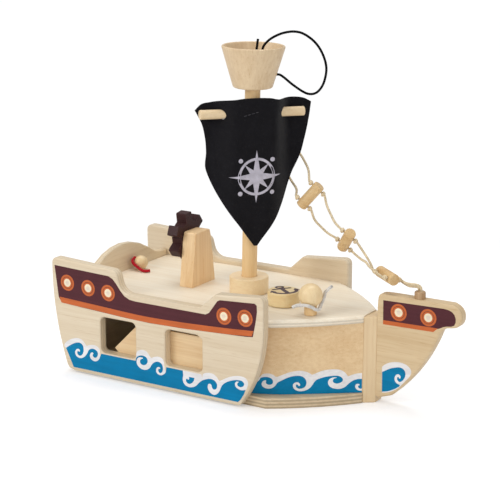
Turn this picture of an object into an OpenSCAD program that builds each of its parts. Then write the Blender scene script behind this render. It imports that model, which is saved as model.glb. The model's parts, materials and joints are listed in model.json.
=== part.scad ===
// Wooden toy boat: plywood hull with a swinging mast, felt sail, ship's wheel,
// turning disc, two lift-off figures and a rope ladder down to the prow.
// Frame: origin under the mast on the ground, +X to the bow, +Y to port, +Z up.

/* [Hull] */
// Outer width over the two side panels
hull_w = 151.4; // [140:1:170]
// Thickness of a side panel
panel_t = 9; // [7:0.5:11]
// Height of the panels' lower edge above the ground
panel_lift = 2; // [1:0.5:4]
// Height of the waist, the low stretch of the panels
waist_z = 80; // [78:0.5:84]
// Height of the panels' top at the stern
stern_z = 102; // [96:1:110]
// Height of the panels' top at the bow end
bow_z = 97.5; // [94:0.5:104]
// Stern edge of the panels, measured aft of the mast
stern_x = 155.3; // [150:1:165]
// Forward edge of the panels, measured ahead of the mast
panel_front_x = 60.5; // [56:0.5:66]
// Aft end of the waist
waist_aft_x = 81; // [76:1:86]
// Forward end of the waist
waist_fore_x = 0; // [-6:1:4]

/* [Windows] */
// Width of a window
window_w = 37.2; // [30:0.5:40]
// Height of a window
window_h = 32; // [26:0.5:34]
// Height of the window sills
window_sill = 23.5; // [21:0.5:26]
// Corner radius of a window
window_r = 4.5; // [2:0.5:8]
// Middle of the aft window, measured aft of the mast
window_aft_x = 85.4; // [83:0.5:90]
// Middle of the fore window, measured aft of the mast
window_fore_x = 17.6; // [15:0.5:22]

/* [Boards] */
// Height of the deck's upper face
deck_z = 75.5; // [74:0.5:77]
// Thickness of the deck
deck_t = 6; // [5:0.5:8]
// Rounding of the deck's bow edge
deck_round = 4; // [2:0.5:4.5]
// Thickness of the base board
base_t = 9; // [8:0.5:11]
// Forward end of deck and base board
nose_x = 118; // [114:1:122]
// Width of the boards at the nose
nose_w = 26; // [25:1:30]
// Radius of the boards' bow curves
bow_r = 255; // [230:5:280]
// Thickness of the transom
transom_t = 6; // [5:0.5:8]
// Rise of the transom's arch above the deck
arch_h = 24.5; // [20:0.5:28]
// Lean of the transom from the vertical
transom_lean = 4; // [2:1:6]

/* [Bow walls] */
// Thickness of a curved bow wall
wall_t = 5; // [3.5:0.5:6]
// Outer radius of its bend
wall_r = 110; // [100:1:116]
// Height of its narrow tongue above the base board
tongue_h = 42.5; // [36:0.5:50]
// Height of the tongue's tip above the base board
tongue_tip_z = 17.7; // [14:0.5:22]
// Tip of the tongue, measured aft of the mast
tongue_tip_x = 95.4; // [90:0.5:98]

/* [Stem and prow] */
// Depth of the stem post, fore and aft
stem_d = 9; // [7:0.5:12]
// Width of the stem post's aft face
stem_aft_w = 24; // [20:1:25]
// Width of the stem post's fore face
stem_fore_w = 11; // [10.5:0.5:14]
// Drop of the stem post's top below the deck's upper face
stem_drop = 1; // [0.5:0.5:3]
// Thickness of the prow plate
prow_t = 10; // [8:0.5:10.5]
// Length of the prow plate
prow_l = 75.5; // [70:0.5:85]
// Height of the prow plate's lower edge
prow_low_z = 5.5; // [4:0.5:8]
// Height of the prow plate's top
prow_top_z = 94.3; // [90:0.5:100]
// Position of the ladder peg, measured ahead of the stem post
peg_dx = 35.6; // [30:0.5:45]
// Diameter of the ladder peg's head
peg_head_d = 9.2; // [8:0.2:10]

/* [Mast] */
// Diameter of the mast
mast_d = 13; // [11:0.5:15]
// Radial clearance of every turning fit
turn_clear = 0.06; // [0.03:0.01:0.1]
// Height of the mast's shoulder under the crow's nest
nest_z = 253; // [250:1:256]
// Lean of the mast towards the bow
mast_rake = 1.2; // [0:0.1:1.5]
// Depth of the mast's recess in the deck
mast_recess = 3; // [2:0.5:4]
// Outer diameter of the socket ring
socket_d = 33.6; // [28:0.2:38]
// Height of the socket ring
socket_h = 14.5; // [12:0.5:18]
// Heading of the yard, turned from the bow towards port
yard_heading = 50; // [45:1:55]
// Diameter of the yard
yard_d = 8; // [6:0.5:8.5]
// Length of the yard
yard_l = 92; // [86:1:98]
// Height of the yard
yard_z = 231.5; // [230:0.5:233]

/* [Crow's nest] */
// Rim diameter of the crow's nest
nest_rim_d = 54; // [48:1:60]
// Base diameter of the crow's nest
nest_base_d = 33; // [28:1:38]
// Height of the crow's nest
nest_h = 35; // [30:1:40]
// Wall thickness of the crow's nest
nest_wall = 2.6; // [2:0.2:3.4]
// Thickness of its floor
nest_floor = 7; // [6:0.5:9]
// Depth to which the mast enters its floor
nest_seat = 4; // [3:0.5:4.5]

/* [Sail] */
// Width of the sail along the yard
sail_w = 103; // [96:1:108]
// Thickness of the felt
felt_t = 1.8; // [1.4:0.1:2.2]
// Distance from the mast's axis to the middle of the felt in front of it
sail_front = 10.3; // [10.1:0.1:11]
// Distance from the yard's axis to the middle of the felt behind its ends
sail_back = 5.3; // [5.1:0.1:6]

/* [Ship's wheel] */
// Diameter over the wheel's handles
wheel_d = 43; // [36:1:46]
// Diameter of the wheel's body
wheel_body_d = 28; // [24:1:32]
// Thickness of the wheel
wheel_t = 10; // [8:0.5:12]
// Width of a handle
handle_w = 9; // [7:0.2:9.4]
// Number of handles
handle_n = 6; // [6:1:8]
// Height of the wheel's axle
axle_z = 117; // [114:0.5:118]
// Diameter of the axle pin
axle_d = 6; // [5:0.5:7]
// Thickness of the wheel block
block_t = 13; // [11:0.5:16]
// Width of the wheel block at its foot
block_foot_w = 36; // [32:1:40]
// Width of the wheel block at its top
block_top_w = 22.4; // [20:0.2:26]
// Height of the wheel block
block_h = 47.5; // [46:0.5:52]
// Forward face of the wheel block, measured aft of the mast
block_x = 47; // [44:1:50]

/* [Deck pieces] */
// Diameter of the turning disc
disc_d = 27; // [24:0.5:30]
// Thickness of the turning disc
disc_t = 12; // [10:0.5:14]
// Diameter of the disc's pin
disc_pin_d = 5; // [4:0.5:6]
// Diameter of the sailor's head
sailor_head_d = 19.9; // [16:0.1:21]
// Diameter of the sailor's body
sailor_body_d = 10.4; // [8:0.2:10.6]
// Diameter of the small figure's head
mate_head_d = 12.4; // [11.5:0.1:12.6]

/* [Ladder] */
// Diameter of a rung
rung_d = 9.6; // [8:0.2:10]
// Length of a rung
rung_l = 25; // [22:0.5:28]
// Diameter of the ladder's rope
rope_d = 2.2; // [1.8:0.1:2.4]
// Radial clearance of the rope in a rung's hole
rope_clear = 0.25; // [0.2:0.05:0.5]

/* [Hidden] */
$fn = 64;

eps = 0.01;
far = 400;
gap = 0.2;
inner_w = hull_w - 2 * panel_t;
inner_y = inner_w / 2;
deck_low = deck_z - deck_t;

// Panel outline: the stern's and the forward edge's sweeps
stern_sweep_r = 262;
stern_sweep_z = 90;
front_sweep_r = 114;
front_sweep_z = 70;
sweep_steps = 9;
keel_r = 7;
sheer_step = 3;
rise_run = 14.5;
rise_low = 4;

// Transom and boards: height at which the lean is measured
transom_x = stern_x - 28.6;
arch_r = 72.7;
arch_fillet_r = 34;
arch_slope = 0.613;

// Dowels
dowel_d = 4;
dowel_depth = 6;
deck_dowel_x = [-120, -30, 42];
base_dowel_x = [-112, -40, 20];
block_dowel_y = 9;
prow_dowel_z = [30, 62];

// Wheel
wheel_gap = 0.3;
handle_chamfer = 0.8;
handle_turn = 38;
pin_head_d = 10.4;
pin_head_t = 2.6;
wheel_x = -(block_x + block_t + wheel_gap + wheel_t / 2);

// Turning disc and figures
disc_pos = [45, -17.5];
disc_gap = 0.3;
disc_pin_h = 8;
sailor_pos = [79.1, -31.7];
sailor_body_h = 9.4;
sailor_neck = 6.35;
sailor_lift = 0.1;
mate_pos = [-122, 11];
mate_lift = 0.2;
arm_d = 3;
scarf_d = 2.8;
elastic_d = 2.1;
cord_sides = 8;

// Peg
peg_head_h = 6.2;
peg_shank_d = 5;
peg_shank_l = 12;
peg_x = nose_x + stem_d + peg_dx;

// ---------- outlines ----------

function arc(c, r, a0, a1, n) = [for (i = [0:n])
    c + r * [cos(a0 + (a1 - a0) * i / n), sin(a0 + (a1 - a0) * i / n)]];

function unit(v) = v / norm(v);

// Points of a rounded corner at b, between a and c
function corner(a, b, c, r, n = 6) =
    let(p = unit(a - b), q = unit(c - b))
    let(half = acos(p * q) / 2)
    let(reach = r / tan(half), m = b + unit(p + q) * r / sin(half))
    let(s = b + p * reach - m, e = b + q * reach - m)
    let(a0 = atan2(s.y, s.x), turn = atan2(s.x * e.y - s.y * e.x, s * e))
    arc(m, r, a0, a0 + turn, n);

// Outline of [x, y, radius] corners; a radius of 0 keeps the point as it is
function softened(pts) = [
    for (i = [0:len(pts) - 1])
        let(k = len(pts), b = pts[i], a = pts[(i + k - 1) % k], c = pts[(i + 1) % k])
        each b.z == 0 ? [[b.x, b.y]] : corner([a.x, a.y], [b.x, b.y], [c.x, c.y], b.z)
];

function sharp(pts) = [for (p = pts) [p.x, p.y, 0]];

module rounded_rect(w, h, r) {
    square([w - 2 * r, h], center = true);
    square([w, h - 2 * r], center = true);
    for (sx = [-1, 1], sy = [-1, 1])
        translate([sx * (w / 2 - r), sy * (h / 2 - r)])
            circle(r);
}

// Extrudes an outline drawn in X and Z between two values of Y
module upright(y0, y1) {
    translate([0, y1, 0])
        rotate([90, 0, 0])
            linear_extrude(y1 - y0)
                children();
}

// Extrudes an outline drawn in Y and Z between two values of X
module crosswise(x0, x1) {
    translate([x0, 0, 0])
        rotate([90, 0, 90])
            linear_extrude(x1 - x0)
                children();
}

// Turns a piece that is drawn along +Z so that it points along v
module aim(v) {
    rotate([0, acos(v.z / norm(v)), atan2(v.y, v.x)])
        children();
}

// ---------- side panels ----------

stern_end = asin((stern_sweep_z - panel_lift) / stern_sweep_r);
front_end = asin((front_sweep_z - panel_lift) / front_sweep_r);
stern_points = arc([stern_sweep_r - stern_x, stern_sweep_z], stern_sweep_r,
    180, 180 + stern_end, sweep_steps);
front_points = arc([panel_front_x - front_sweep_r, front_sweep_z], front_sweep_r,
    -front_end, 0, sweep_steps);
panel_outline = softened(concat(
    [[-stern_x, stern_z, 5]],
    sharp([for (i = [0:sweep_steps - 1]) stern_points[i]]),
    [[stern_points[sweep_steps].x, panel_lift, keel_r]],
    [[front_points[0].x, panel_lift, 3]],
    sharp([for (i = [1:sweep_steps]) front_points[i]]),
    [[panel_front_x, bow_z, 5]],
    [[waist_fore_x + rise_run, bow_z - rise_low, 4]],
    [[waist_fore_x, waist_z, 3]],
    [[-waist_aft_x, waist_z, 12]],
    [[-waist_aft_x - 5, stern_z - sheer_step, 7]]));

module panel_face() {
    difference() {
        polygon(panel_outline);
        for (x = [-window_aft_x, -window_fore_x])
            translate([x, window_sill + window_h / 2])
                rounded_rect(window_w, window_h, window_r);
    }
}

module side_panel(side) {
    y0 = side > 0 ? inner_y : -hull_w / 2;
    color([0.89, 0.82, 0.70])
        difference() {
            upright(y0, y0 + panel_t)
                panel_face();
            dowel_row(side);
        }
}

module side_panel_right() {
    side_panel(-1);
}

module side_panel_left() {
    side_panel(1);
}

// Hidden dowels between a side panel and the two boards
module dowel_row(side) {
    for (x = deck_dowel_x)
        side_dowel(x, deck_z - deck_t / 2, side);
    for (x = base_dowel_x)
        side_dowel(x, base_t / 2 + 1, side);
}

module side_dowel(x, z, side) {
    translate([x, side * inner_y, z])
        rotate([90, 0, 0])
            cylinder(h = 2 * dowel_depth, d = dowel_d, center = true);
}

module hull_dowels() {
    color([0.80, 0.66, 0.46]) {
        dowel_row(-1);
        dowel_row(1);
    }
}

// ---------- deck and base board ----------

bow_start = [panel_front_x - 3.5, inner_y];
bow_end = [nose_x, nose_w / 2];
bow_chord = bow_end - bow_start;
bow_drop = sqrt(bow_r * bow_r - bow_chord * bow_chord / 4);
bow_centre = (bow_start + bow_end) / 2 + bow_drop * unit([bow_chord.y, -bow_chord.x]);

// Disc whose rim is the bow curve of one side, with a rounded upper edge
module bow_disc(side, t, r) {
    translate([bow_centre.x, side * bow_centre.y, 0])
        rotate_extrude($fn = 180)
            union() {
                square([bow_r - r, t]);
                square([bow_r, t - r]);
                translate([bow_r - r, t - r])
                    intersection() {
                        circle(r);
                        square(r);
                    }
            }
}

// Stern plane of the boards: the transom's inner face
function transom_inner(z) = -transom_x - z * tan(transom_lean);

module ahead_of_transom() {
    upright(-far, far)
        polygon([[transom_inner(0), 0], [far, 0], [far, far], [transom_inner(far), far]]);
}

module board(z, t, r) {
    intersection() {
        translate([0, 0, z])
            intersection() {
                bow_disc(1, t, r);
                bow_disc(-1, t, r);
                translate([-far, -inner_y, 0])
                    cube([far + nose_x, inner_w, t]);
            }
        ahead_of_transom();
    }
}

module deck() {
    color([0.91, 0.86, 0.78])
        difference() {
            board(deck_low, deck_t, deck_round);
            raked()
                translate([0, 0, -mast_recess])
                    cylinder(h = deck_t, d = mast_d + 2 * turn_clear);
            translate([disc_pos.x, disc_pos.y, deck_low - 1])
                cylinder(h = deck_t + 2, d = disc_pin_d);
            block_dowels();
            dowel_row(-1);
            dowel_row(1);
        }
}

module base_board() {
    color([0.86, 0.77, 0.62])
        difference() {
            board(0, base_t, eps);
            dowel_row(-1);
            dowel_row(1);
        }
}

// ---------- transom ----------

arch_top = deck_z + arch_h;
arch_low = waist_z + 1.2;
arch_peak = arch_top + arch_r * (sqrt(1 + arch_slope * arch_slope) - 1);
arch_half = (arch_peak - arch_low) / arch_slope;

module transom_face() {
    polygon(softened([
        [-inner_y, 0, 0],
        [inner_y, 0, 0],
        [inner_y, arch_low, 0],
        [arch_half, arch_low, arch_fillet_r],
        [0, arch_peak, arch_r],
        [-arch_half, arch_low, arch_fillet_r],
        [-inner_y, arch_low, 0]]));
}

module transom() {
    run = transom_t / cos(transom_lean);
    color([0.87, 0.79, 0.66])
        intersection() {
            crosswise(-far, 0)
                transom_face();
            upright(-far, far)
                polygon([[transom_inner(0), 0], [transom_inner(far), far],
                    [transom_inner(far) - run, far], [transom_inner(0) - run, 0]]);
        }
}

// ---------- curved bow walls ----------

wall_turn = 36.3;
wall_straight = (inner_y - stem_aft_w / 2 - wall_r * (1 - cos(wall_turn))) / sin(wall_turn);
wall_bend_x = nose_x - wall_r * sin(wall_turn) - wall_straight * cos(wall_turn);
wall_base = base_t;
tongue_low_x = -tongue_tip_x + tongue_tip_z;
tongue_high_x = -tongue_tip_x + (tongue_h - tongue_tip_z);
tongue_end_x = 18;

// Plan of a wall: straight along the panel, one bend, straight to the stem post
wall_bend_c = [wall_bend_x, inner_y - wall_r];
wall_bend_steps = 32;
wall_inner_y = stem_aft_w / 2 - wall_t / cos(wall_turn);

module wall_plan() {
    polygon(concat(
        [[-tongue_tip_x, inner_y]],
        arc(wall_bend_c, wall_r, 90, 90 - wall_turn, wall_bend_steps),
        [[nose_x, stem_aft_w / 2], [nose_x, wall_inner_y]],
        arc(wall_bend_c, wall_r - wall_t, 90 - wall_turn, 90, wall_bend_steps),
        [[-tongue_tip_x, inner_y - wall_t]]));
}

module wall_profile() {
    polygon([
        [-tongue_tip_x, wall_base + tongue_tip_z],
        [tongue_low_x, wall_base],
        [nose_x, wall_base],
        [nose_x, deck_low],
        [tongue_end_x, deck_low],
        [tongue_end_x, wall_base + tongue_h],
        [tongue_high_x, wall_base + tongue_h]]);
}

module bow_wall(side) {
    color([0.84, 0.71, 0.52])
        intersection() {
            translate([0, 0, wall_base])
                mirror([0, side > 0 ? 0 : 1, 0])
                    linear_extrude(deck_low - wall_base)
                        wall_plan();
            upright(-far, far)
                wall_profile();
        }
}

module bow_wall_right() {
    bow_wall(-1);
}

module bow_wall_left() {
    bow_wall(1);
}

// ---------- stem post and prow ----------

module stem_post() {
    color([0.85, 0.74, 0.56])
        difference() {
            linear_extrude(deck_z - stem_drop)
                polygon([[nose_x, -stem_aft_w / 2], [nose_x + stem_d, -stem_fore_w / 2],
                    [nose_x + stem_d, stem_fore_w / 2], [nose_x, stem_aft_w / 2]]);
            prow_dowels();
        }
}

prow_x = nose_x + stem_d;
prow_tip_x = prow_x + prow_l;
prow_sweep_r = 146;
prow_sweep_a = [prow_tip_x - 18.5, prow_top_z - 24];
prow_sweep_b = [prow_x + 14, prow_low_z + 3];
prow_chord = prow_sweep_b - prow_sweep_a;
prow_sweep_drop = sqrt(prow_sweep_r * prow_sweep_r - prow_chord * prow_chord / 4);
prow_sweep_c = (prow_sweep_a + prow_sweep_b) / 2
    + prow_sweep_drop * unit([prow_chord.y, -prow_chord.x]);
prow_sweep_start = atan2(prow_sweep_a.y - prow_sweep_c.y, prow_sweep_a.x - prow_sweep_c.x);
prow_sweep_end = atan2(prow_sweep_b.y - prow_sweep_c.y, prow_sweep_b.x - prow_sweep_c.x);

module prow_face() {
    polygon(softened(concat(
        [[prow_x, prow_top_z, 4]],
        [[prow_x, prow_low_z, 1.5]],
        [[prow_x + 5, prow_low_z, 0]],
        sharp(arc(prow_sweep_c, prow_sweep_r, prow_sweep_end, prow_sweep_start, sweep_steps)),
        [[prow_tip_x - 15.5, prow_top_z - 20.6, 0]],
        [[prow_tip_x - 1.5, prow_top_z - 18, 8]],
        [[prow_tip_x + 0.5, prow_top_z, 10]])));
}

module prow_plate() {
    color([0.87, 0.76, 0.59])
        difference() {
            upright(-prow_t / 2, prow_t / 2)
                prow_face();
            prow_dowels();
            translate([peg_x, 0, prow_top_z - peg_shank_l])
                cylinder(h = peg_shank_l + 1, d = peg_shank_d);
        }
}

module prow_dowels() {
    color([0.80, 0.66, 0.46])
        for (z = prow_dowel_z)
            translate([prow_x - dowel_depth, 0, z])
                rotate([0, 90, 0])
                    cylinder(h = 2.4 * dowel_depth, d = dowel_d);
}

module ladder_peg() {
    color([0.66, 0.50, 0.34])
        translate([peg_x, 0, prow_top_z])
            rotate_extrude()
                union() {
                    translate([0, -peg_shank_l])
                        square([peg_shank_d / 2, peg_shank_l]);
                    square([peg_head_d / 2, peg_head_h - 1.6]);
                    square([peg_head_d / 2 - 1.6, peg_head_h]);
                    translate([peg_head_d / 2 - 1.6, peg_head_h - 1.6])
                        intersection() {
                            circle(1.6);
                            square(1.6);
                        }
                }
}

// ---------- mast, yard and crow's nest ----------

// Moves a piece into the mast's frame: foot on the deck, leaning to the bow
module raked() {
    translate([0, 0, deck_z])
        rotate([0, mast_rake, 0])
            children();
}

// Height above the ground, measured along the mast from the deck
function on_mast(z) = z - deck_z;

module mast_socket() {
    color([0.90, 0.80, 0.64])
        difference() {
            translate([0, 0, deck_z])
                cylinder(h = socket_h, d = socket_d);
            raked()
                translate([0, 0, -1])
                    cylinder(h = socket_h + 2, d = mast_d + 2 * turn_clear);
        }
}

module mast() {
    color([0.88, 0.74, 0.50])
        raked()
            difference() {
                translate([0, 0, -mast_recess + turn_clear])
                    cylinder(h = on_mast(nest_z) + nest_seat + mast_recess - turn_clear, d = mast_d);
                translate([0, 0, on_mast(yard_z)])
                    along_yard()
                        cylinder(h = mast_d + 2, d = yard_d, center = true);
            }
}

module along_yard() {
    rotate([0, 90, yard_heading])
        children();
}

module yard() {
    color([0.86, 0.72, 0.50])
        raked()
            translate([0, 0, on_mast(yard_z)])
                along_yard()
                    cylinder(h = yard_l, d = yard_d, center = true);
}

nest_slope = (nest_rim_d - nest_base_d) / 2 / nest_h;
nest_edge_r = 1.2;

module nest_section() {
    base_r = nest_base_d / 2;
    rim_r = nest_rim_d / 2;
    polygon(softened([
        [0, 0, 0],
        [base_r, 0, 2],
        [rim_r, nest_h, nest_edge_r],
        [rim_r - nest_wall, nest_h, nest_edge_r],
        [base_r + nest_floor * nest_slope - nest_wall, nest_floor, 2],
        [0, nest_floor, 0]]));
}

// Heading of the elastic's hole in the crow's nest
elastic_heading = 32;
elastic_hole_z = 11;

module crows_nest() {
    color([0.90, 0.78, 0.60])
        raked()
            translate([0, 0, on_mast(nest_z)])
                difference() {
                    rotate_extrude()
                        nest_section();
                    translate([0, 0, -1])
                        cylinder(h = nest_seat + 1, d = mast_d);
                    translate([0, 0, elastic_hole_z])
                        rotate([0, 90, elastic_heading])
                            cylinder(h = nest_rim_d, d = elastic_d + 2 * rope_clear, $fn = 24);
                }
}

// ---------- sail ----------

sail_top = 246;
sail_tip = 119;
// Right and left edges of the sail: share of its half width, height above ground, rounding
sail_right = [
    [0.05, sail_tip, 2],
    [0.34, sail_top - 107.5, 60],
    [0.70, sail_top - 72, 120],
    [0.87, sail_top - 53, 60],
    [1.0, sail_top - 24.5, 80],
    [1.06, sail_top - 7.5, 3],
    [0.90, sail_top - 3.5, 12],
    [0.47, sail_top - 3.6, 40]];
sail_left = [
    [0.0, sail_top - 0.4, 60],
    [-0.70, sail_top - 4.2, 20],
    [-0.93, sail_top - 8.5, 3],
    [-0.80, sail_top - 27, 40],
    [-0.73, sail_top - 48, 30],
    [-0.745, sail_top - 60, 20],
    [-0.62, sail_top - 78, 60],
    [-0.40, sail_top - 98, 80]];
sail_outline = [for (p = concat(sail_right, sail_left)) [p.x * sail_w / 2, p.y, p.z]];
fold_start = 14;
fold_end = 36;
sail_strips = 48;

// Where the felt runs: ahead of the mast in the middle, behind the yard at its ends
function felt_ease(u) = let(t = (abs(u) - fold_start) / (fold_end - fold_start))
    t <= 0 ? 1 : t >= 1 ? 0 : (1 + cos(180 * t)) / 2;
function felt_n(u) = -sail_back + (sail_front + sail_back) * felt_ease(u);

module felt_plan() {
    us = [for (i = [0:sail_strips]) (i / sail_strips - 0.5) * (sail_w + 4)];
    polygon(concat(
        [for (u = us) [u, -felt_n(u) - felt_t / 2]],
        [for (i = [sail_strips:-1:0]) [us[i], -felt_n(us[i]) + felt_t / 2]]));
}

module sail() {
    color([0.12, 0.12, 0.14])
        raked()
            rotate([0, 0, yard_heading])
                difference() {
                    intersection() {
                        linear_extrude(on_mast(sail_top) + 1)
                            felt_plan();
                        upright(-far, far)
                            translate([0, -deck_z])
                                polygon(softened(sail_outline));
                    }
                    translate([0, 0, on_mast(yard_z)])
                        rotate([0, 90, 0])
                            cylinder(h = yard_l + 20, d = yard_d + 0.3, center = true);
                }
}

// ---------- cords ----------

// Tube along a route of [x, y, z, thickness share] points
function route_dir(p, i) =
    let(a = p[max(i - 1, 0)], b = p[min(i + 1, len(p) - 1)])
    unit([b.x - a.x, b.y - a.y, b.z - a.z]);

function carried(p, i) =
    i == 0 ? first_side(route_dir(p, 0))
    : let(d = route_dir(p, i), s = carried(p, i - 1)) unit(s - d * (s * d));

function first_side(d) = unit(cross(d, abs(d.z) < 0.8 ? [0, 0, 1] : [1, 0, 0]));

module tube(p, d) {
    n = len(p);
    m = cord_sides;
    sides = [for (i = [0:n - 1]) carried(p, i)];
    rings = [for (i = [0:n - 1])
        let(t = route_dir(p, i), s = sides[i], w = cross(t, s), r = d / 2 * p[i][3])
        for (k = [0:m - 1])
            [p[i].x, p[i].y, p[i].z] + r * (cos(360 * k / m) * s + sin(360 * k / m) * w)];
    walls = [for (i = [0:n - 2], k = [0:m - 1])
        let(a = i * m + k, b = i * m + (k + 1) % m)
        each [[a, b, a + m], [b, b + m, a + m]]];
    caps = [for (k = [1:m - 2]) each [[0, k + 1, k], [(n - 1) * m, (n - 1) * m + k, (n - 1) * m + k + 1]]];
    polyhedron(points = rings, faces = [for (f = concat(walls, caps)) [f[2], f[1], f[0]]]);
}

// Place beside the mast: u along the yard, n towards the sail's face, z above ground
function by_mast(u, n, z, thick = 1) =
    let(h = yard_heading, lean = (z - deck_z) * tan(mast_rake))
    [u * cos(h) + n * sin(h) + lean, u * sin(h) - n * cos(h), z, thick];

// Ladder rungs: where the two strands cross each rung, and the strands' heading there
rungs = [
    [[51.5, 26, 167.5], [40, 23.5, 154], [0.5, 0.19, -0.85]],
    [[92.5, 8, 135.5], [83.5, 16, 125], [0.61, 0.27, -0.74]],
    [[123.5, 9, 108], [137, 0, 107], [0.54, 0.84, -0.25]]];

function rung_axis(r) = unit(r[1] - r[0]);
// Heading of the holes, square to the rung
function rung_bore(r) = let(a = rung_axis(r)) unit(r[2] - a * (r[2] * a));

module rung(r) {
    mid = (r[0] + r[1]) / 2;
    color([0.88, 0.76, 0.55])
        difference() {
            translate(mid)
                aim(rung_axis(r))
                    cylinder(h = rung_l, d = rung_d, center = true, $fn = 40);
            for (i = [0, 1])
                translate(r[i])
                    aim(rung_bore(r))
                        cylinder(h = rung_d + 4, d = rope_d + 2 * rope_clear, center = true, $fn = 24);
        }
}

module rung_upper() {
    rung(rungs[0]);
}

module rung_middle() {
    rung(rungs[1]);
}

module rung_lower() {
    rung(rungs[2]);
}

knot = 2;
knot_rise = 2.3;

// Route through one rung: a knot on each side and a straight run in the hole
function through(r, i) =
    let(h = rung_bore(r), p = r[i], k = rung_d / 2)
    [for (s = [[-k - knot_rise - 1.6, 1], [-k - knot_rise, knot], [-k - 0.5, 1], [k + 0.5, 1],
        [k + knot_rise, knot], [k + knot_rise + 1.6, 1]])
        [each (p + s[0] * h), s[1]]];

function reversed(p) = [for (i = [len(p) - 1:-1:0]) p[i]];

function with_thickness(pts) = [for (p = pts) [p.x, p.y, p.z, 1]];

// Port strand, from the mast down to the peg
strand_a = concat(
    [by_mast(6.5, -7, yard_z + 6.5), by_mast(11, -12, yard_z - 0.5), by_mast(20, -16, yard_z - 10),
        by_mast(31, -18, yard_z - 21), by_mast(42, -17.5, yard_z - 32), by_mast(47.5, -12, yard_z - 39.5),
        by_mast(49.5, -3, yard_z - 46), by_mast(49, 7, yard_z - 51)],
    through(rungs[0], 0),
    with_thickness([[62, 24.5, 154.5], [70, 18, 148], [77.5, 11.5, 143.8]]),
    through(rungs[1], 0),
    with_thickness([[105, 9, 124], [111, 7, 118.5], [116, 4.5, 113.5]]),
    through(rungs[2], 0),
    with_thickness([[134.5, 15.5, 103.2], [142, 11.5, 101.5], [149.5, 6.5, 101.2],
        [156, 2.5, 102.6]]),
    [[peg_x - 2, 0.6, prow_top_z + peg_head_h + 2.4, 1],
        [peg_x - 1.6, 0.6, prow_top_z + peg_head_h - 1, 1]]);

// Starboard strand, from the mast down to the peg
strand_b = concat(
    [by_mast(-6.5, -7, yard_z + 6.5), by_mast(-3, -12, yard_z - 0.5), by_mast(5, -17, yard_z - 11.5),
        by_mast(15, -19.5, yard_z - 24.5), by_mast(26, -19.5, yard_z - 39.5),
        by_mast(34.5, -15, yard_z - 52.5), by_mast(38.5, -6, yard_z - 62),
        by_mast(40, 3, yard_z - 67.5)],
    through(rungs[0], 1),
    with_thickness([[50, 25, 140.5], [58, 22.5, 135.5], [67, 18.5, 132]]),
    through(rungs[1], 1),
    with_thickness([[97, 15, 117], [104, 10, 116], [111, 3.5, 116.5], [117, -2, 115],
        [124.5, -6, 112.5]]),
    through(rungs[2], 1),
    with_thickness([[147.5, 4, 104], [153.5, 0, 105]]),
    [[peg_x - 2.6, -1.8, prow_top_z + peg_head_h + 5.2, 1],
        [peg_x + 1, -1.4, prow_top_z + peg_head_h + 3.6, 1],
        [peg_x + 1.6, -1, prow_top_z + peg_head_h - 1, 1]]);

// Loop round the mast, above the yard and behind the felt
loop_r = mast_d / 2 + rope_d / 2 + 0.25;
mast_loop = [for (a = [195:-30:-15])
    by_mast(-loop_r * cos(a), loop_r * sin(a), yard_z + 7.5 + 1.5 * sin(max(0, min(180, a))))];

module ladder_rope() {
    color([0.85, 0.79, 0.68])
        tube(concat(reversed(strand_b), reversed(mast_loop), strand_a), rope_d);
}

// Elastic: from its free end, down into the crow's nest, over the rim, round and
// back in through the hole; across, towards the viewer and up, in the nest's frame
elastic_route = [
    [3.6, 4, 41, 1], [3, 4.2, 36, 1], [2.4, 4.2, 30.5, 1], [2.2, 3.6, 25, 1], [2.6, 2.6, 19.5, 1],
    [4, 1.8, 15, 1], [6.4, 1.6, 13.4, 1.5], [8.6, 2, 15.6, 1], [9, 2.8, 21, 1], [8.2, 3.8, 27, 1],
    [7.4, 4.6, 32, 1], [9.5, 5, 37, 1], [15, 5, 42, 1], [23.5, 4.6, 46, 1], [33, 4, 47.5, 1],
    [41.5, 3.4, 45.5, 1], [51, 2.8, 38.5, 1], [57.6, 2, 28.5, 1], [60.8, 1.4, 17, 1],
    [59, 1, 5, 1], [54.4, 0.6, -2.5, 1], [48.8, 0.3, -4.8, 1], [42.5, 0, -3.2, 1], [33, 0, 3, 1],
    [26, 0, 8.6, 1], [22, 0, 11, 1], [17.6, 0, 11, 1], [15.3, 0, 11, 1.7], [13.6, 0, 11, 1]];

module elastic_loop() {
    color([0.06, 0.06, 0.07])
        raked()
            translate([0, 0, on_mast(nest_z)])
                rotate([0, 0, elastic_heading])
                    tube([for (p = elastic_route) [p.x, -p.y, p.z, p[3]]], elastic_d);
}

// ---------- ship's wheel ----------

module wheel_block() {
    color([0.87, 0.74, 0.54])
        difference() {
            crosswise(-block_x - block_t, -block_x)
                polygon(softened([
                    [-block_foot_w / 2, deck_z, 0.5],
                    [block_foot_w / 2, deck_z, 0.5],
                    [block_top_w / 2, deck_z + block_h, 2],
                    [-block_top_w / 2, deck_z + block_h, 2]]));
            translate([-block_x - block_t - 1, 0, axle_z])
                rotate([0, 90, 0])
                    cylinder(h = block_t, d = axle_d);
            block_dowels();
        }
}

module block_dowels() {
    color([0.80, 0.66, 0.46])
        for (side = [-1, 1])
            translate([-block_x - block_t / 2, side * block_dowel_y, deck_low])
                cylinder(h = deck_t + 2 * dowel_depth, d = dowel_d);
}

module wheel_pin() {
    color([0.36, 0.22, 0.20])
        translate([-block_x - 1, 0, axle_z])
            rotate([0, -90, 0]) {
                shank = block_t - 1 + 2 * wheel_gap + wheel_t;
                cylinder(h = shank + 0.5, d = axle_d);
                translate([0, 0, shank])
                    rotate_extrude()
                        union() {
                            square([pin_head_d / 2, pin_head_t / 2]);
                            intersection() {
                                translate([0, pin_head_t - 6.5])
                                    circle(6.5);
                                square([pin_head_d / 2, pin_head_t]);
                            }
                        }
            }
}

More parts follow.
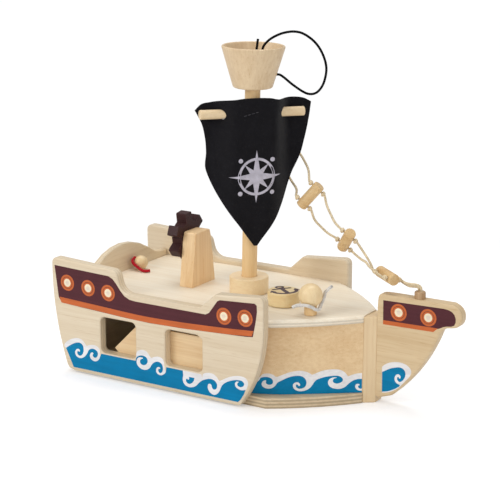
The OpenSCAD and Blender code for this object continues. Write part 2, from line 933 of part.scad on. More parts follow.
module wheel_outline() {
    circle(d = wheel_body_d);
    reach = wheel_d / 2;
    for (i = [0:handle_n - 1])
        rotate(handle_turn + i * 360 / handle_n)
            polygon([[0, -handle_w / 2], [reach - handle_chamfer, -handle_w / 2],
                [reach, -handle_w / 2 + handle_chamfer], [reach, handle_w / 2 - handle_chamfer],
                [reach - handle_chamfer, handle_w / 2], [0, handle_w / 2]]);
}

module ships_wheel() {
    color([0.28, 0.18, 0.18])
        translate([wheel_x, 0, axle_z])
            rotate([90, 0, 90])
                translate([0, 0, -wheel_t / 2])
                    linear_extrude(wheel_t)
                        difference() {
                            wheel_outline();
                            circle(d = axle_d + 2 * turn_clear);
                        }
}

// ---------- turning disc ----------

module disc_pin() {
    color([0.80, 0.66, 0.46])
        translate([disc_pos.x, disc_pos.y, deck_low])
            cylinder(h = deck_t + disc_pin_h, d = disc_pin_d);
}

module anchor_disc() {
    r = 1.2;
    color([0.92, 0.83, 0.62])
        translate([disc_pos.x, disc_pos.y, deck_z + disc_gap])
            difference() {
                rotate_extrude()
                    union() {
                        square([disc_d / 2 - r, disc_t]);
                        translate([0, r])
                            square([disc_d / 2, disc_t - 2 * r]);
                        for (z = [r, disc_t - r])
                            translate([disc_d / 2 - r, z])
                                circle(r);
                    }
                translate([0, 0, -1])
                    cylinder(h = disc_pin_h + 1.2, d = disc_pin_d + 2 * turn_clear);
            }
}

// ---------- figures ----------

module sailor_body() {
    color([0.88, 0.74, 0.50])
        translate([sailor_pos.x, sailor_pos.y, deck_z + sailor_lift])
            cylinder(h = sailor_body_h, d = sailor_body_d);
}

module sailor_head() {
    color([0.92, 0.80, 0.62])
        translate([sailor_pos.x, sailor_pos.y, deck_z + sailor_lift])
            difference() {
                translate([0, 0, sailor_neck + sailor_head_d / 2])
                    sphere(d = sailor_head_d);
                cylinder(h = sailor_body_h, d = sailor_body_d);
            }
}

sailor_arm_route = [
    [68.6, -43.5, 82.7, 1], [71.6, -41.3, 84.5, 1], [76.9, -41.6, 85.6, 1], [79.6, -41.7, 85.9, 1],
    [82, -41.2, 85.7, 1], [84.6, -39.1, 84.3, 1], [86, -35.6, 81.8, 1], [86.6, -31.6, 80.9, 1],
    [85.6, -27.4, 81.5, 1], [84.9, -23.4, 84.2, 1], [85.8, -21.2, 88.4, 1], [87.3, -22, 93, 1],
    [90.2, -22.4, 96.2, 1], [93.7, -22.4, 99.5, 1]];

module sailor_arms() {
    color([0.93, 0.93, 0.92])
        tube(sailor_arm_route, arm_d);
}

module mate_head() {
    color([0.93, 0.82, 0.62])
        translate([mate_pos.x, mate_pos.y, deck_z + mate_lift + mate_head_d / 2])
            sphere(d = mate_head_d);
}

mate_scarf_route = [
    [-108.5, 5.5, 77.2, 1], [-111.3, 2.8, 77.1, 1], [-115, 2.4, 77.3, 1], [-118.6, 3, 78.4, 1],
    [-122, 3.19, 80.15, 1], [-125.62, 3.87, 82.01, 1], [-128.23, 6.23, 83.46, 1],
    [-129.53, 9.37, 84.04, 1], [-130.35, 12.56, 84.01, 1.5], [-128.8, 15.4, 82.6, 1]];

module mate_scarf() {
    color([0.72, 0.10, 0.16])
        tube(mate_scarf_route, scarf_d);
}

side_panel_right();
side_panel_left();
deck();
base_board();
transom();
bow_wall_right();
bow_wall_left();
stem_post();
prow_plate();
ladder_peg();
mast_socket();
mast();
crows_nest();
yard();
sail();
elastic_loop();
wheel_block();
wheel_pin();
ships_wheel();
disc_pin();
anchor_disc();
sailor_body();
sailor_head();
sailor_arms();
mate_head();
mate_scarf();
rung_upper();
rung_middle();
rung_lower();
ladder_rope();
hull_dowels();
block_dowels();
prow_dowels();
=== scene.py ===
import bpy
import bmesh
import json
import math
from mathutils import Matrix, Vector, noise
from mathutils.geometry import intersect_point_line, tessellate_polygon


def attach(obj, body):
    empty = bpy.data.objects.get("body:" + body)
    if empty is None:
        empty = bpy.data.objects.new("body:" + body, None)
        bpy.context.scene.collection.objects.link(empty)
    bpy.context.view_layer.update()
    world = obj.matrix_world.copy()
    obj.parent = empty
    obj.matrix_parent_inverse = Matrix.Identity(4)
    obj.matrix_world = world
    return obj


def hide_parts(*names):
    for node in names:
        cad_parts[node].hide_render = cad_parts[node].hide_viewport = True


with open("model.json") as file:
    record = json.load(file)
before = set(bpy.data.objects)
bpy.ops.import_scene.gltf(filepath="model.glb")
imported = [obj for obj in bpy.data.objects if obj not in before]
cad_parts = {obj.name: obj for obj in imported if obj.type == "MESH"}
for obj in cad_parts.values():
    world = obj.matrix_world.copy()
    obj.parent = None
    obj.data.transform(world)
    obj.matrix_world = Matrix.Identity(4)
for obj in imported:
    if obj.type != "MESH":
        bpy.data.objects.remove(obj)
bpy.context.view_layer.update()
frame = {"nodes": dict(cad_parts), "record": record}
nodes = frame["nodes"]
scene = bpy.context.scene
scene.view_settings.view_transform = "Standard"
print("frame loaded:", len(nodes), "nodes")

# the camera, fitted to the photograph; angles in degrees, lens in mm
camera = {"azimuth": 31.884, "elevation": 14.516, "roll": -0.02, "lens": 114.06,
          "place": (0.6947, -1.1152, 0.4526)}


def makeCamera(values):
    a, e, roll = (math.radians(values[k]) for k in ("azimuth", "elevation", "roll"))
    back = Vector((math.sin(a) * math.cos(e), -math.cos(a) * math.cos(e), math.sin(e)))
    level = Vector((math.cos(a), math.sin(a), 0))
    rise = back.cross(level)
    right = math.cos(roll) * level + math.sin(roll) * rise
    up = back.cross(right)
    eye = bpy.data.objects.new("camera", bpy.data.cameras.new("camera"))
    eye.data.sensor_width = 36
    eye.data.lens = values["lens"]
    eye.matrix_world = Matrix.Translation(values["place"]) @ Matrix((right, up, back)).transposed().to_4x4()
    scene.collection.objects.link(eye)
    scene.camera = eye


makeCamera(camera)


def tint(red, green, blue):
    return tuple(((c / 255 + 0.055) / 1.055) ** 2.4 if c > 10 else c / 3294 for c in (red, green, blue)) + (1.0,)


def newObject(name, mesh):
    made = bpy.data.objects.new(name, mesh)
    scene.collection.objects.link(made)
    return made


def smoothMesh(mesh, angle=35):
    mesh.shade_smooth()
    mesh.set_sharp_from_angle(angle=math.radians(angle))


def bakeModifiers(made):
    # the evaluated mesh takes the object's place, without its modifiers
    graph = bpy.context.evaluated_depsgraph_get()
    graph.update()
    mesh = bpy.data.meshes.new_from_object(made.evaluated_get(graph))
    made.modifiers.clear()
    made.data = mesh
    mesh.name = made.name
    return made


def finishPiece(made, body, materials=(), replaced=()):
    for material in materials:
        made.data.materials.append(material)
    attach(made, body)
    if replaced:
        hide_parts(*replaced)
    return made


def smoothLine(points, step=0.0006):
    # a curve through the points, with about one point per step
    line = []
    last = len(points) - 1
    for i in range(last):
        p0, p1, p2, p3 = (Vector(points[max(0, min(last, i + k))]) for k in (-1, 0, 1, 2))
        count = max(2, int((p2 - p1).length / step))
        for k in range(count):
            t = k / count
            line.append(0.5 * ((2 * p1) + (p2 - p0) * t + (2 * p0 - 5 * p1 + 4 * p2 - p3) * t ** 2
                               + (3 * p1 - p0 - 3 * p2 + p3) * t ** 3))
    line.append(Vector(points[-1]))
    return line


def feed(tree, node, inputs):
    for key, value in inputs.items():
        if isinstance(value, bpy.types.NodeSocket):
            tree.links.new(value, node.inputs[key])
        else:
            node.inputs[key].default_value = value
    return node


def put(tree, kind, inputs=None, **settings):
    made = tree.nodes.new(kind)
    for key, value in settings.items():
        setattr(made, key, value)
    return feed(tree, made, inputs or {})


def figure(tree, operation, a, b=0.0):
    return put(tree, "ShaderNodeMath", {0: a, 1: b}, operation=operation).outputs[0]


def remap(tree, value, low, high, toLow=0.0, toHigh=1.0):
    return put(tree, "ShaderNodeMapRange", {"Value": value, "From Min": low, "From Max": high,
                                            "To Min": toLow, "To Max": toHigh}).outputs[0]


def mixColor(tree, factor, a, b, mode="MIX"):
    return put(tree, "ShaderNodeMix", {0: factor, 6: a, 7: b}, data_type="RGBA", blend_type=mode).outputs[2]


def stretch(tree, vector, x, y, z):
    return put(tree, "ShaderNodeVectorMath", {0: vector, 1: (x, y, z)}, operation="MULTIPLY").outputs[0]


def mottle(tree, vector, scale=1.0, detail=2.0, distortion=0.0):
    return put(tree, "ShaderNodeTexNoise", {"Vector": vector, "Scale": scale, "Detail": detail,
                                            "Distortion": distortion}).outputs["Fac"]


def newGroup(name, inputs, outputs, kindOfTree="ShaderNodeTree"):
    tree = bpy.data.node_groups.new(name, kindOfTree)
    for label, kind, value in inputs:
        socket = tree.interface.new_socket(label, in_out="INPUT", socket_type="NodeSocket" + kind)
        if value is not None:
            socket.default_value = value
    for label, kind in outputs:
        tree.interface.new_socket(label, in_out="OUTPUT", socket_type="NodeSocket" + kind)
    return tree, tree.nodes.new("NodeGroupInput").outputs, tree.nodes.new("NodeGroupOutput").inputs


def newShapeTree(name, inputs):
    return newGroup(name, [("Geometry", "Geometry", None)] + inputs + [("Finish", "Material", None)],
                    [("Geometry", "Geometry")], "GeometryNodeTree")


def endShapeTree(tree, shape, given, result):
    # every shape tree ends in real geometry with its material
    shape = put(tree, "GeometryNodeRealizeInstances", {0: shape}).outputs[0]
    shape = put(tree, "GeometryNodeSetMaterial", {"Geometry": shape, "Material": given["Finish"]}).outputs[0]
    tree.links.new(shape, result["Geometry"])
    return tree


# shared effects: each gives colours and masks, never a shader
def makeGrainGroup():
    tree, given, result = newGroup("woodGrain", [
        ("Vector", "Vector", None), ("Facing", "Vector", None), ("Light", "Color", (0.8, 0.7, 0.5, 1)),
        ("Dark", "Color", (0.6, 0.45, 0.3, 1)), ("Figure", "Float", 1.0)],
        [("Color", "Color"), ("Height", "Float"), ("Roughness", "Float")])
    streak = mottle(tree, stretch(tree, given["Vector"], 7, 430, 430), detail=3.5)
    band = mottle(tree, stretch(tree, given["Vector"], 3.5, 62, 62), detail=2.5, distortion=0.5)
    pore = remap(tree, mottle(tree, stretch(tree, given["Vector"], 55, 1500, 1500), detail=1), 0.60, 0.74)
    tone = figure(tree, "ADD", figure(tree, "MULTIPLY", band, 0.55), figure(tree, "MULTIPLY", streak, 0.45))
    tone = figure(tree, "MULTIPLY", remap(tree, tone, 0.34, 0.68), given["Figure"])
    color = mixColor(tree, tone, given["Light"], given["Dark"])
    color = mixColor(tree, figure(tree, "MULTIPLY", pore, 0.30), color, given["Dark"], "MULTIPLY")
    along = put(tree, "ShaderNodeSeparateXYZ", {0: given["Facing"]}).outputs[0]
    endGrain = remap(tree, figure(tree, "ABSOLUTE", along), 0.86, 0.97)
    rings = mottle(tree, stretch(tree, given["Vector"], 300, 900, 260), detail=2)
    ended = mixColor(tree, remap(tree, rings, 0.3, 0.7, 0.25, 0.75), given["Light"], given["Dark"])
    color = mixColor(tree, endGrain, color, ended)
    tree.links.new(color, result["Color"])
    tree.links.new(figure(tree, "SUBTRACT", streak, figure(tree, "MULTIPLY", pore, 0.8)), result["Height"])
    tree.links.new(remap(tree, figure(tree, "ADD", streak, pore), 0.3, 1.2, 0.40, 0.60), result["Roughness"])
    return tree


def makePlyGroup():
    tree, given, result = newGroup("plyEdge", [
        ("Color", "Color", (1, 1, 1, 1)), ("Dark", "Color", (0.4, 0.25, 0.15, 1)), ("Depth", "Float", 0.0),
        ("Across", "Float", 0.0), ("Ply", "Float", 0.0015), ("Strength", "Float", 0.5)],
        [("Color", "Color")])
    turn = figure(tree, "MULTIPLY", figure(tree, "DIVIDE", given["Depth"], given["Ply"]), math.pi)
    stripe = remap(tree, figure(tree, "SINE", turn), -0.25, 0.25)
    edge = remap(tree, figure(tree, "ABSOLUTE", given["Across"]), 0.75, 0.45)
    mask = figure(tree, "MULTIPLY", figure(tree, "MULTIPLY", stripe, edge), given["Strength"])
    tree.links.new(mixColor(tree, mask, given["Color"], given["Dark"]), result["Color"])
    return tree


def makePaintGroup():
    tree, given, result = newGroup("paintSkin", [
        ("Vector", "Vector", None), ("Color", "Color", (1, 1, 1, 1)), ("Worn", "Float", 0.2)],
        [("Color", "Color"), ("Height", "Float"), ("Roughness", "Float")])
    telegraph = mottle(tree, stretch(tree, given["Vector"], 12, 500, 500), detail=3)
    speck = mottle(tree, given["Vector"], scale=2600, detail=1)
    cloudy = mottle(tree, given["Vector"], scale=70, detail=2)
    shade = remap(tree, figure(tree, "ADD", telegraph, figure(tree, "MULTIPLY", cloudy, 0.8)), 0.6, 1.25, 0.86, 1.08)
    color = put(tree, "ShaderNodeHueSaturation", {"Value": shade, "Color": given["Color"]}).outputs[0]
    faded = mixColor(tree, 0.5, color, (0.55, 0.50, 0.46, 1))
    worn = figure(tree, "MULTIPLY", remap(tree, speck, 0.62, 0.74), given["Worn"])
    tree.links.new(mixColor(tree, worn, color, faded), result["Color"])
    tree.links.new(figure(tree, "ADD", telegraph, figure(tree, "MULTIPLY", speck, 0.5)), result["Height"])
    tree.links.new(remap(tree, cloudy, 0.3, 0.7, 0.36, 0.50), result["Roughness"])
    return tree


def makeFibreGroup():
    tree, given, result = newGroup("clothFibre", [
        ("Vector", "Vector", None), ("Color", "Color", (1, 1, 1, 1)), ("Scale", "Float", 1.0),
        ("Fleck", "Float", 0.2)],
        [("Color", "Color"), ("Height", "Float")])
    spot = put(tree, "ShaderNodeVectorMath", {0: given["Vector"], "Scale": given["Scale"]},
               operation="SCALE").outputs[0]
    nap = mottle(tree, spot, scale=1500, detail=3, distortion=1.5)
    patch = mottle(tree, spot, scale=130, detail=3)
    lint = remap(tree, mottle(tree, spot, scale=900, detail=2, distortion=3), 0.64, 0.72)
    value = remap(tree, figure(tree, "ADD", nap, figure(tree, "MULTIPLY", patch, 0.7)), 0.55, 1.15, 0.72, 1.30)
    color = put(tree, "ShaderNodeHueSaturation", {"Value": value, "Color": given["Color"]}).outputs[0]
    pale = mixColor(tree, 0.25, color, (0.8, 0.8, 0.8, 1))
    tree.links.new(mixColor(tree, figure(tree, "MULTIPLY", lint, given["Fleck"]), color, pale), result["Color"])
    tree.links.new(figure(tree, "ADD", nap, figure(tree, "MULTIPLY", patch, 0.5)), result["Height"])
    return tree


grainGroup, plyGroup, paintGroup, fibreGroup = makeGrainGroup(), makePlyGroup(), makePaintGroup(), makeFibreGroup()


def newMaterial(name):
    material = bpy.data.materials.new(name)
    material.use_nodes = True
    tree = material.node_tree
    tree.nodes.clear()
    shader = tree.nodes.new("ShaderNodeBsdfPrincipled")
    tree.links.new(shader.outputs[0], tree.nodes.new("ShaderNodeOutputMaterial").inputs[0])
    return material, tree, shader


def bump(tree, height, strength, distance):
    return put(tree, "ShaderNodeBump", {"Height": height, "Strength": strength, "Distance": distance}).outputs[0]


grainTurns = {"x": (0, 0, 0), "y": (0, 0, math.pi / 2), "z": (0, math.pi / 2, 0)}
# relief is the bump's strength and its height in metres
woodLook = {"coatRoughness": 0.35, "relief": (0.35, 0.00012), "gluePart": 0.72}
paintLook = {"specular": 0.12, "coatRoughness": 0.3, "relief": (0.25, 0.00008)}
clothLook = {"specular": 0.1, "sheenRoughness": 0.5, "relief": 0.6}


def woodMaterial(name, light, dark, grain="x", amount=1.0, coat=0.12, plies=None, shift=(0, 0, 0)):
    # plies: the axis across the layers, a layer's thickness and how strongly the layers show
    material, tree, shader = newMaterial(name)
    spot = tree.nodes.new("ShaderNodeTexCoord")
    turned = put(tree, "ShaderNodeMapping", {"Vector": spot.outputs["Object"], "Rotation": grainTurns[grain],
                                             "Location": shift}).outputs[0]
    facing = put(tree, "ShaderNodeMapping", {"Vector": spot.outputs["Normal"], "Rotation": grainTurns[grain]},
                 vector_type="NORMAL").outputs[0]
    wood = put(tree, "ShaderNodeGroup", {"Vector": turned, "Facing": facing, "Light": tint(*light),
                                         "Dark": tint(*dark), "Figure": amount}, node_tree=grainGroup)
    color = wood.outputs["Color"]
    if plies:
        axis, thickness, strength = plies
        depth, across = (put(tree, "ShaderNodeSeparateXYZ", {0: spot.outputs[kind]}).outputs["xyz".index(axis)]
                         for kind in ("Object", "Normal"))
        glue = tint(*(int(c * woodLook["gluePart"]) for c in dark))
        color = put(tree, "ShaderNodeGroup", {"Color": color, "Dark": glue, "Depth": depth, "Across": across,
                                              "Ply": thickness, "Strength": strength},
                    node_tree=plyGroup).outputs["Color"]
    feed(tree, shader, {"Base Color": color, "Roughness": wood.outputs["Roughness"], "Coat Weight": coat,
                        "Coat Roughness": woodLook["coatRoughness"],
                        "Normal": bump(tree, wood.outputs["Height"], *woodLook["relief"])})
    return material


def paintMaterial(name, color, worn=0.15, coat=0.15):
    material, tree, shader = newMaterial(name)
    spot = tree.nodes.new("ShaderNodeTexCoord").outputs["Object"]
    skin = put(tree, "ShaderNodeGroup", {"Vector": spot, "Color": tint(*color), "Worn": worn},
               node_tree=paintGroup).outputs
    feed(tree, shader, {"Base Color": skin["Color"], "Roughness": skin["Roughness"],
                        "Specular IOR Level": paintLook["specular"], "Coat Weight": coat,
                        "Coat Roughness": paintLook["coatRoughness"],
                        "Normal": bump(tree, skin["Height"], *paintLook["relief"])})
    return material


def clothMaterial(name, color, scale=1.0, fleck=0.2, depth=0.0003, sheen=0.3, roughness=0.92):
    material, tree, shader = newMaterial(name)
    spot = tree.nodes.new("ShaderNodeTexCoord").outputs["Object"]
    cloth = put(tree, "ShaderNodeGroup", {"Vector": spot, "Color": tint(*color), "Scale": scale, "Fleck": fleck},
                node_tree=fibreGroup).outputs
    feed(tree, shader, {"Base Color": cloth["Color"], "Roughness": roughness,
                        "Specular IOR Level": clothLook["specular"], "Sheen Weight": sheen,
                        "Sheen Roughness": clothLook["sheenRoughness"],
                        "Normal": bump(tree, cloth["Height"], clothLook["relief"], depth)})
    return material


panelWood = woodMaterial("panelPlywood", (233, 217, 190), (214, 192, 158), "x", 0.75, plies=("y", 0.0015, 0.22))
deckWood = woodMaterial("deckPlywood", (248, 238, 218), (234, 217, 190), "x", 0.8, plies=("z", 0.0012, 0.40),
                        shift=(0.3, 0.2, 0.1))
baseWood = woodMaterial("basePlywood", (228, 208, 174), (203, 176, 138), "x", 0.9, plies=("z", 0.0015, 0.55),
                        shift=(0.7, 0.1, 0.4))
transomWood = woodMaterial("transomPlywood", (232, 214, 184), (211, 188, 152), "y", 0.8, plies=("x", 0.0015, 0.22),
                           shift=(0.1, 0.5, 0.4))
bowWood = woodMaterial("bowWood", (242, 213, 168), (222, 185, 135), "x", 0.95, shift=(0.2, 0.9, 0.3))
prowWood = woodMaterial("prowPlywood", (227, 203, 163), (208, 178, 134), "x", 0.8, plies=("y", 0.0017, 0.2),
                        shift=(0.5, 0.4, 0.2))
stemWood = woodMaterial("stemWood", (240, 216, 176), (224, 192, 146), "z", 0.8, shift=(0.4, 0.4, 0.9))
blockWood = woodMaterial("blockWood", (246, 214, 168), (226, 185, 132), "z", 1.0, shift=(0.8, 0.3, 0.5))
socketWood = woodMaterial("socketWood", (248, 226, 186), (234, 203, 156), "x", 0.8, shift=(0.3, 0.8, 0.5))
nestWood = woodMaterial("nestWood", (231, 207, 170), (208, 178, 138), "z", 0.9, shift=(0.6, 0.6, 0.1))
mastWood = woodMaterial("mastWood", (245, 213, 162), (230, 190, 132), "z", 0.9, shift=(0.15, 0.45, 0.3))
yardWood = woodMaterial("yardWood", (238, 214, 174), (222, 190, 144), "x", 0.7, shift=(0.35, 0.25, 0.7))
rungWood = woodMaterial("rungWood", (229, 198, 146), (205, 164, 108), "x", 0.9, shift=(0.55, 0.75, 0.2))
pegWood = woodMaterial("pegWood", (196, 162, 122), (160, 120, 82), "z", 1.0, shift=(0.95, 0.15, 0.2))
ballWood = woodMaterial("ballWood", (244, 220, 174), (230, 196, 144), "z", 0.8, coat=0.25, shift=(0.25, 0.35, 0.6))
discWood = woodMaterial("discWood", (246, 226, 178), (232, 200, 144), "x", 0.9, shift=(0.45, 0.85, 0.6))
dowelWood = woodMaterial("dowelWood", (222, 190, 140), (196, 158, 108), "x", 1.0)
wheelBrown = paintMaterial("wheelBrown", (62, 36, 36), 0.2, 0.04)
maroonPaint = paintMaterial("maroonPaint", (88, 46, 52), 0.08, 0.0)
orangePaint = paintMaterial("orangePaint", (206, 108, 60), 0.08, 0.0)
bluePaint = paintMaterial("bluePaint", (0, 128, 178), 0.04, 0.0)
whitePaint = paintMaterial("whitePaint", (243, 241, 242), 0.05)
creamPaint = paintMaterial("creamPaint", (250, 236, 204), 0.1)
greyPaint = paintMaterial("greyPaint", (238, 220, 200), 0.2)
anchorPaint = paintMaterial("anchorPaint", (84, 60, 66), 0.2)
feltCloth = clothMaterial("blackFelt", (21, 20, 24), 1.0, 0.16, 0.0004, 0.10)
motifPrint = clothMaterial("motifPrint", (190, 186, 198), 1.6, 0.5, 0.0003, 0.1, 0.7)
ropeCloth = clothMaterial("creamRope", (226, 207, 172), 2.5, 0.3, 0.0002, 0.2)
whiteCord = clothMaterial("whiteCord", (236, 232, 226), 2.5, 0.1, 0.0002, 0.2)
redCord = clothMaterial("redCord", (190, 26, 42), 2.5, 0.2, 0.0002, 0.15)
blackElastic = clothMaterial("blackElastic", (14, 14, 16), 2.5, 0.1, 0.0002, 0.0)
print("materials made")

# cords, laid along routes in metres
mast = {"deck": 0.0755, "radius": 0.0065, "rake": 1.2, "heading": 50, "nest": 0.253, "nestTurn": 32}
cordLook = {"ladder": 0.0022, "elastic": 0.0021, "arm": 0.0030, "scarf": 0.0028}
# shares of the cord's thickness: how far a strand stands from the cord's middle, and a strand's radius
strandShare = {"offset": 0.23, "radius": 0.27}
# half a rung's bore, and how far past its mouth the cord leaves straight, is knotted and bends away
rungHole = {"half": 0.0048, "edge": 0.0005, "knot": 0.0023, "past": 0.0039}
knotShape = {"points": 40, "sides": 8, "swell": 0.42, "rise": 0.62}


def byMast(u, n, z):
    h = math.radians(mast["heading"])
    lean = (z - mast["deck"]) * math.tan(math.radians(mast["rake"]))
    return Vector((u * math.cos(h) + n * math.sin(h) + lean, u * math.sin(h) - n * math.cos(h), z))


def raked(point):
    turn = Matrix.Rotation(math.radians(mast["rake"]), 3, "Y")
    return turn @ Vector(point) + Vector((0, 0, mast["deck"]))


# each rung: the middles of its two bores, and the way the bores run before they're squared to it
rungs = [
    [Vector((0.0515, 0.026, 0.1675)), Vector((0.040, 0.0235, 0.154)), Vector((0.5, 0.19, -0.85))],
    [Vector((0.0925, 0.008, 0.1355)), Vector((0.0835, 0.016, 0.125)), Vector((0.61, 0.27, -0.74))],
    [Vector((0.1235, 0.009, 0.108)), Vector((0.137, 0, 0.107)), Vector((0.54, 0.84, -0.25))]]
knotPlaces = []


def rungBore(rung):
    axis = (rung[1] - rung[0]).normalized()
    return (rung[2] - axis * rung[2].dot(axis)).normalized()


def through(rung, i):
    bore, half = rungBore(rung), rungHole["half"]
    for side in (-1, 1):
        knotPlaces.append((rung[i] + side * (half + rungHole["knot"]) * bore, bore))
    out = [half + rungHole[key] for key in ("edge", "knot", "past")]
    return [rung[i] + s * bore for s in [-s for s in out[::-1]] + out]


def metres(points):
    return [Vector(p) / 1000 for p in points]


pegX, pegTop = 0.1626, 0.1005
strandA = ([byMast(0.0065, -0.007, 0.238), byMast(0.011, -0.012, 0.231), byMast(0.020, -0.016, 0.2215),
            byMast(0.031, -0.018, 0.2105), byMast(0.042, -0.0175, 0.1995), byMast(0.0475, -0.012, 0.192),
            byMast(0.0495, -0.003, 0.1855), byMast(0.049, 0.007, 0.1805)]
           + through(rungs[0], 0)
           + metres([(62, 24.5, 154.5), (70, 18, 148), (77.5, 11.5, 143.8)])
           + through(rungs[1], 0)
           + metres([(105, 9, 124), (111, 7, 118.5), (116, 4.5, 113.5)])
           + through(rungs[2], 0)
           + metres([(134.5, 15.5, 103.2), (142, 11.5, 101.5), (149.5, 6.5, 101.2), (156, 2.5, 102.6)])
           + [Vector((pegX - 0.002, 0.0006, pegTop + 0.0024)), Vector((pegX - 0.0016, 0.0006, pegTop - 0.001))])
strandB = ([byMast(-0.0065, -0.007, 0.238), byMast(-0.003, -0.012, 0.231), byMast(0.005, -0.017, 0.220),
            byMast(0.015, -0.0195, 0.207), byMast(0.026, -0.0195, 0.192), byMast(0.0345, -0.015, 0.179),
            byMast(0.0385, -0.006, 0.1695), byMast(0.040, 0.003, 0.164)]
           + through(rungs[0], 1)
           + metres([(50, 25, 140.5), (58, 22.5, 135.5), (67, 18.5, 132)])
           + through(rungs[1], 1)
           + metres([(97, 15, 117), (104, 10, 116), (111, 3.5, 116.5), (117, -2, 115), (124.5, -6, 112.5)])
           + through(rungs[2], 1)
           + metres([(147.5, 4, 104), (153.5, 0, 105)])
           + [Vector((pegX - 0.0026, -0.0018, pegTop + 0.0052)), Vector((pegX + 0.001, -0.0014, pegTop + 0.0036)),
              Vector((pegX + 0.0016, -0.001, pegTop - 0.001))])
loopRadius = mast["radius"] + cordLook["ladder"] / 2 + 0.00025
mastLoop = [byMast(-loopRadius * math.cos(math.radians(a)), loopRadius * math.sin(math.radians(a)),
                   0.239 + 0.0015 * math.sin(math.radians(max(0, min(180, a))))) for a in range(195, -16, -30)]
ladderRoute = strandB[::-1] + mastLoop[::-1] + strandA

elasticRoute = [
    (3.6, 4, 41), (3, 4.2, 36), (2.4, 4.2, 30.5), (2.2, 3.6, 25), (2.6, 2.6, 19.5), (4, 1.8, 15),
    (6.4, 1.6, 13.4), (8.6, 2, 15.6), (9, 2.8, 21), (8.2, 3.8, 27), (7.4, 4.6, 32), (9.5, 5, 37),
    (15, 5, 42), (23.5, 4.6, 46), (33, 4, 47.5), (41.5, 3.4, 45.5), (51, 2.8, 38.5), (57.6, 2, 28.5),
    (60.8, 1.4, 17), (59, 1, 5), (54.4, 0.6, -2.5), (48.8, 0.3, -4.8), (42.5, 0, -3.2), (33, 0, 3),
    (26, 0, 8.6), (22, 0, 11), (17.6, 0, 11), (15.3, 0, 11), (13.6, 0, 11)]


def onNest(across, toward, z):
    h = math.radians(mast["nestTurn"])
    return raked((across * math.cos(h) + toward * math.sin(h), across * math.sin(h) - toward * math.cos(h),
                  mast["nest"] - mast["deck"] + z))


elasticRoute = [onNest(*(v / 1000 for v in p)) for p in elasticRoute]
armRoute = metres([(68.6, -43.5, 82.7), (71.6, -41.3, 84.5), (76.9, -41.6, 85.6), (79.6, -41.7, 85.9),
                   (82, -41.2, 85.7), (84.6, -39.1, 84.3), (86, -35.6, 81.8), (86.6, -31.6, 80.9),
                   (85.6, -27.4, 81.5), (84.9, -23.4, 84.2), (85.8, -21.2, 88.4), (87.3, -22, 93),
                   (90.2, -22.4, 96.2), (93.7, -22.4, 99.5)])
scarfRoute = metres([(-108.5, 5.5, 77.2), (-111.3, 2.8, 77.1), (-115, 2.4, 77.3), (-118.6, 3, 78.4),
                     (-122, 3.19, 80.15), (-125.62, 3.87, 82.01), (-128.23, 6.23, 83.46),
                     (-129.53, 9.37, 84.04), (-130.35, 12.56, 84.01), (-128.8, 15.4, 82.6)])


# Geometry Nodes: strands twisted along a line of edges
def makeCordTree():
    tree, given, result = newShapeTree("twistedCord", [
        ("Thickness", "Float", 0.002), ("Pitch", "Float", 0.007), ("Strands", "Int", 3)])
    line = put(tree, "GeometryNodeMeshToCurve", {"Mesh": given["Geometry"]}).outputs[0]
    run = tree.nodes.new("GeometryNodeSplineParameter").outputs["Length"]
    turns = figure(tree, "DIVIDE", run, given["Pitch"])
    tilt = figure(tree, "MULTIPLY", turns, 2 * math.pi)
    line = put(tree, "GeometryNodeSetCurveTilt", {"Curve": line, "Tilt": tilt}).outputs[0]
    ring = put(tree, "GeometryNodeCurvePrimitiveCircle",
               {"Resolution": given["Strands"],
                "Radius": figure(tree, "MULTIPLY", given["Thickness"], strandShare["offset"])}).outputs[0]
    strand = put(tree, "GeometryNodeCurvePrimitiveCircle",
                 {"Resolution": 8,
                  "Radius": figure(tree, "MULTIPLY", given["Thickness"], strandShare["radius"])}).outputs[0]
    bundle = put(tree, "GeometryNodeInstanceOnPoints", {"Points": ring, "Instance": strand}).outputs[0]
    bundle = put(tree, "GeometryNodeRealizeInstances", {0: bundle}).outputs[0]
    cord = put(tree, "GeometryNodeCurveToMesh",
               {"Curve": line, "Profile Curve": bundle, "Fill Caps": True}).outputs[0]
    cord = put(tree, "GeometryNodeSetShadeSmooth", {"Geometry": cord}).outputs[0]
    return endShapeTree(tree, cord, given, result)


def treeInput(tree, label):
    return next(s.identifier for s in tree.interface.items_tree if s.name == label and s.in_out == "INPUT")


def withTree(name, mesh, tree, values):
    made = newObject(name, mesh)
    modifier = made.modifiers.new("shape", "NODES")
    modifier.node_group = tree
    for label, value in values.items():
        modifier[treeInput(tree, label)] = value
    return bakeModifiers(made)


def lineMesh(name, line):
    mesh = bpy.data.meshes.new(name)
    mesh.from_pydata([tuple(p) for p in line], [(i, i + 1) for i in range(len(line) - 1)], [])
    return mesh


cordTree = makeCordTree()


def twistedCord(name, route, thickness, pitch, strands, material, step=0.0007):
    line = smoothLine(route, step)
    made = withTree(name, lineMesh(name, line), cordTree,
                    {"Thickness": thickness, "Pitch": pitch, "Strands": strands, "Finish": material})
    return made, line


def declareCord(made, line, thickness, body, slotName, replaced, **words):
    finishPiece(made, body, replaced=replaced)


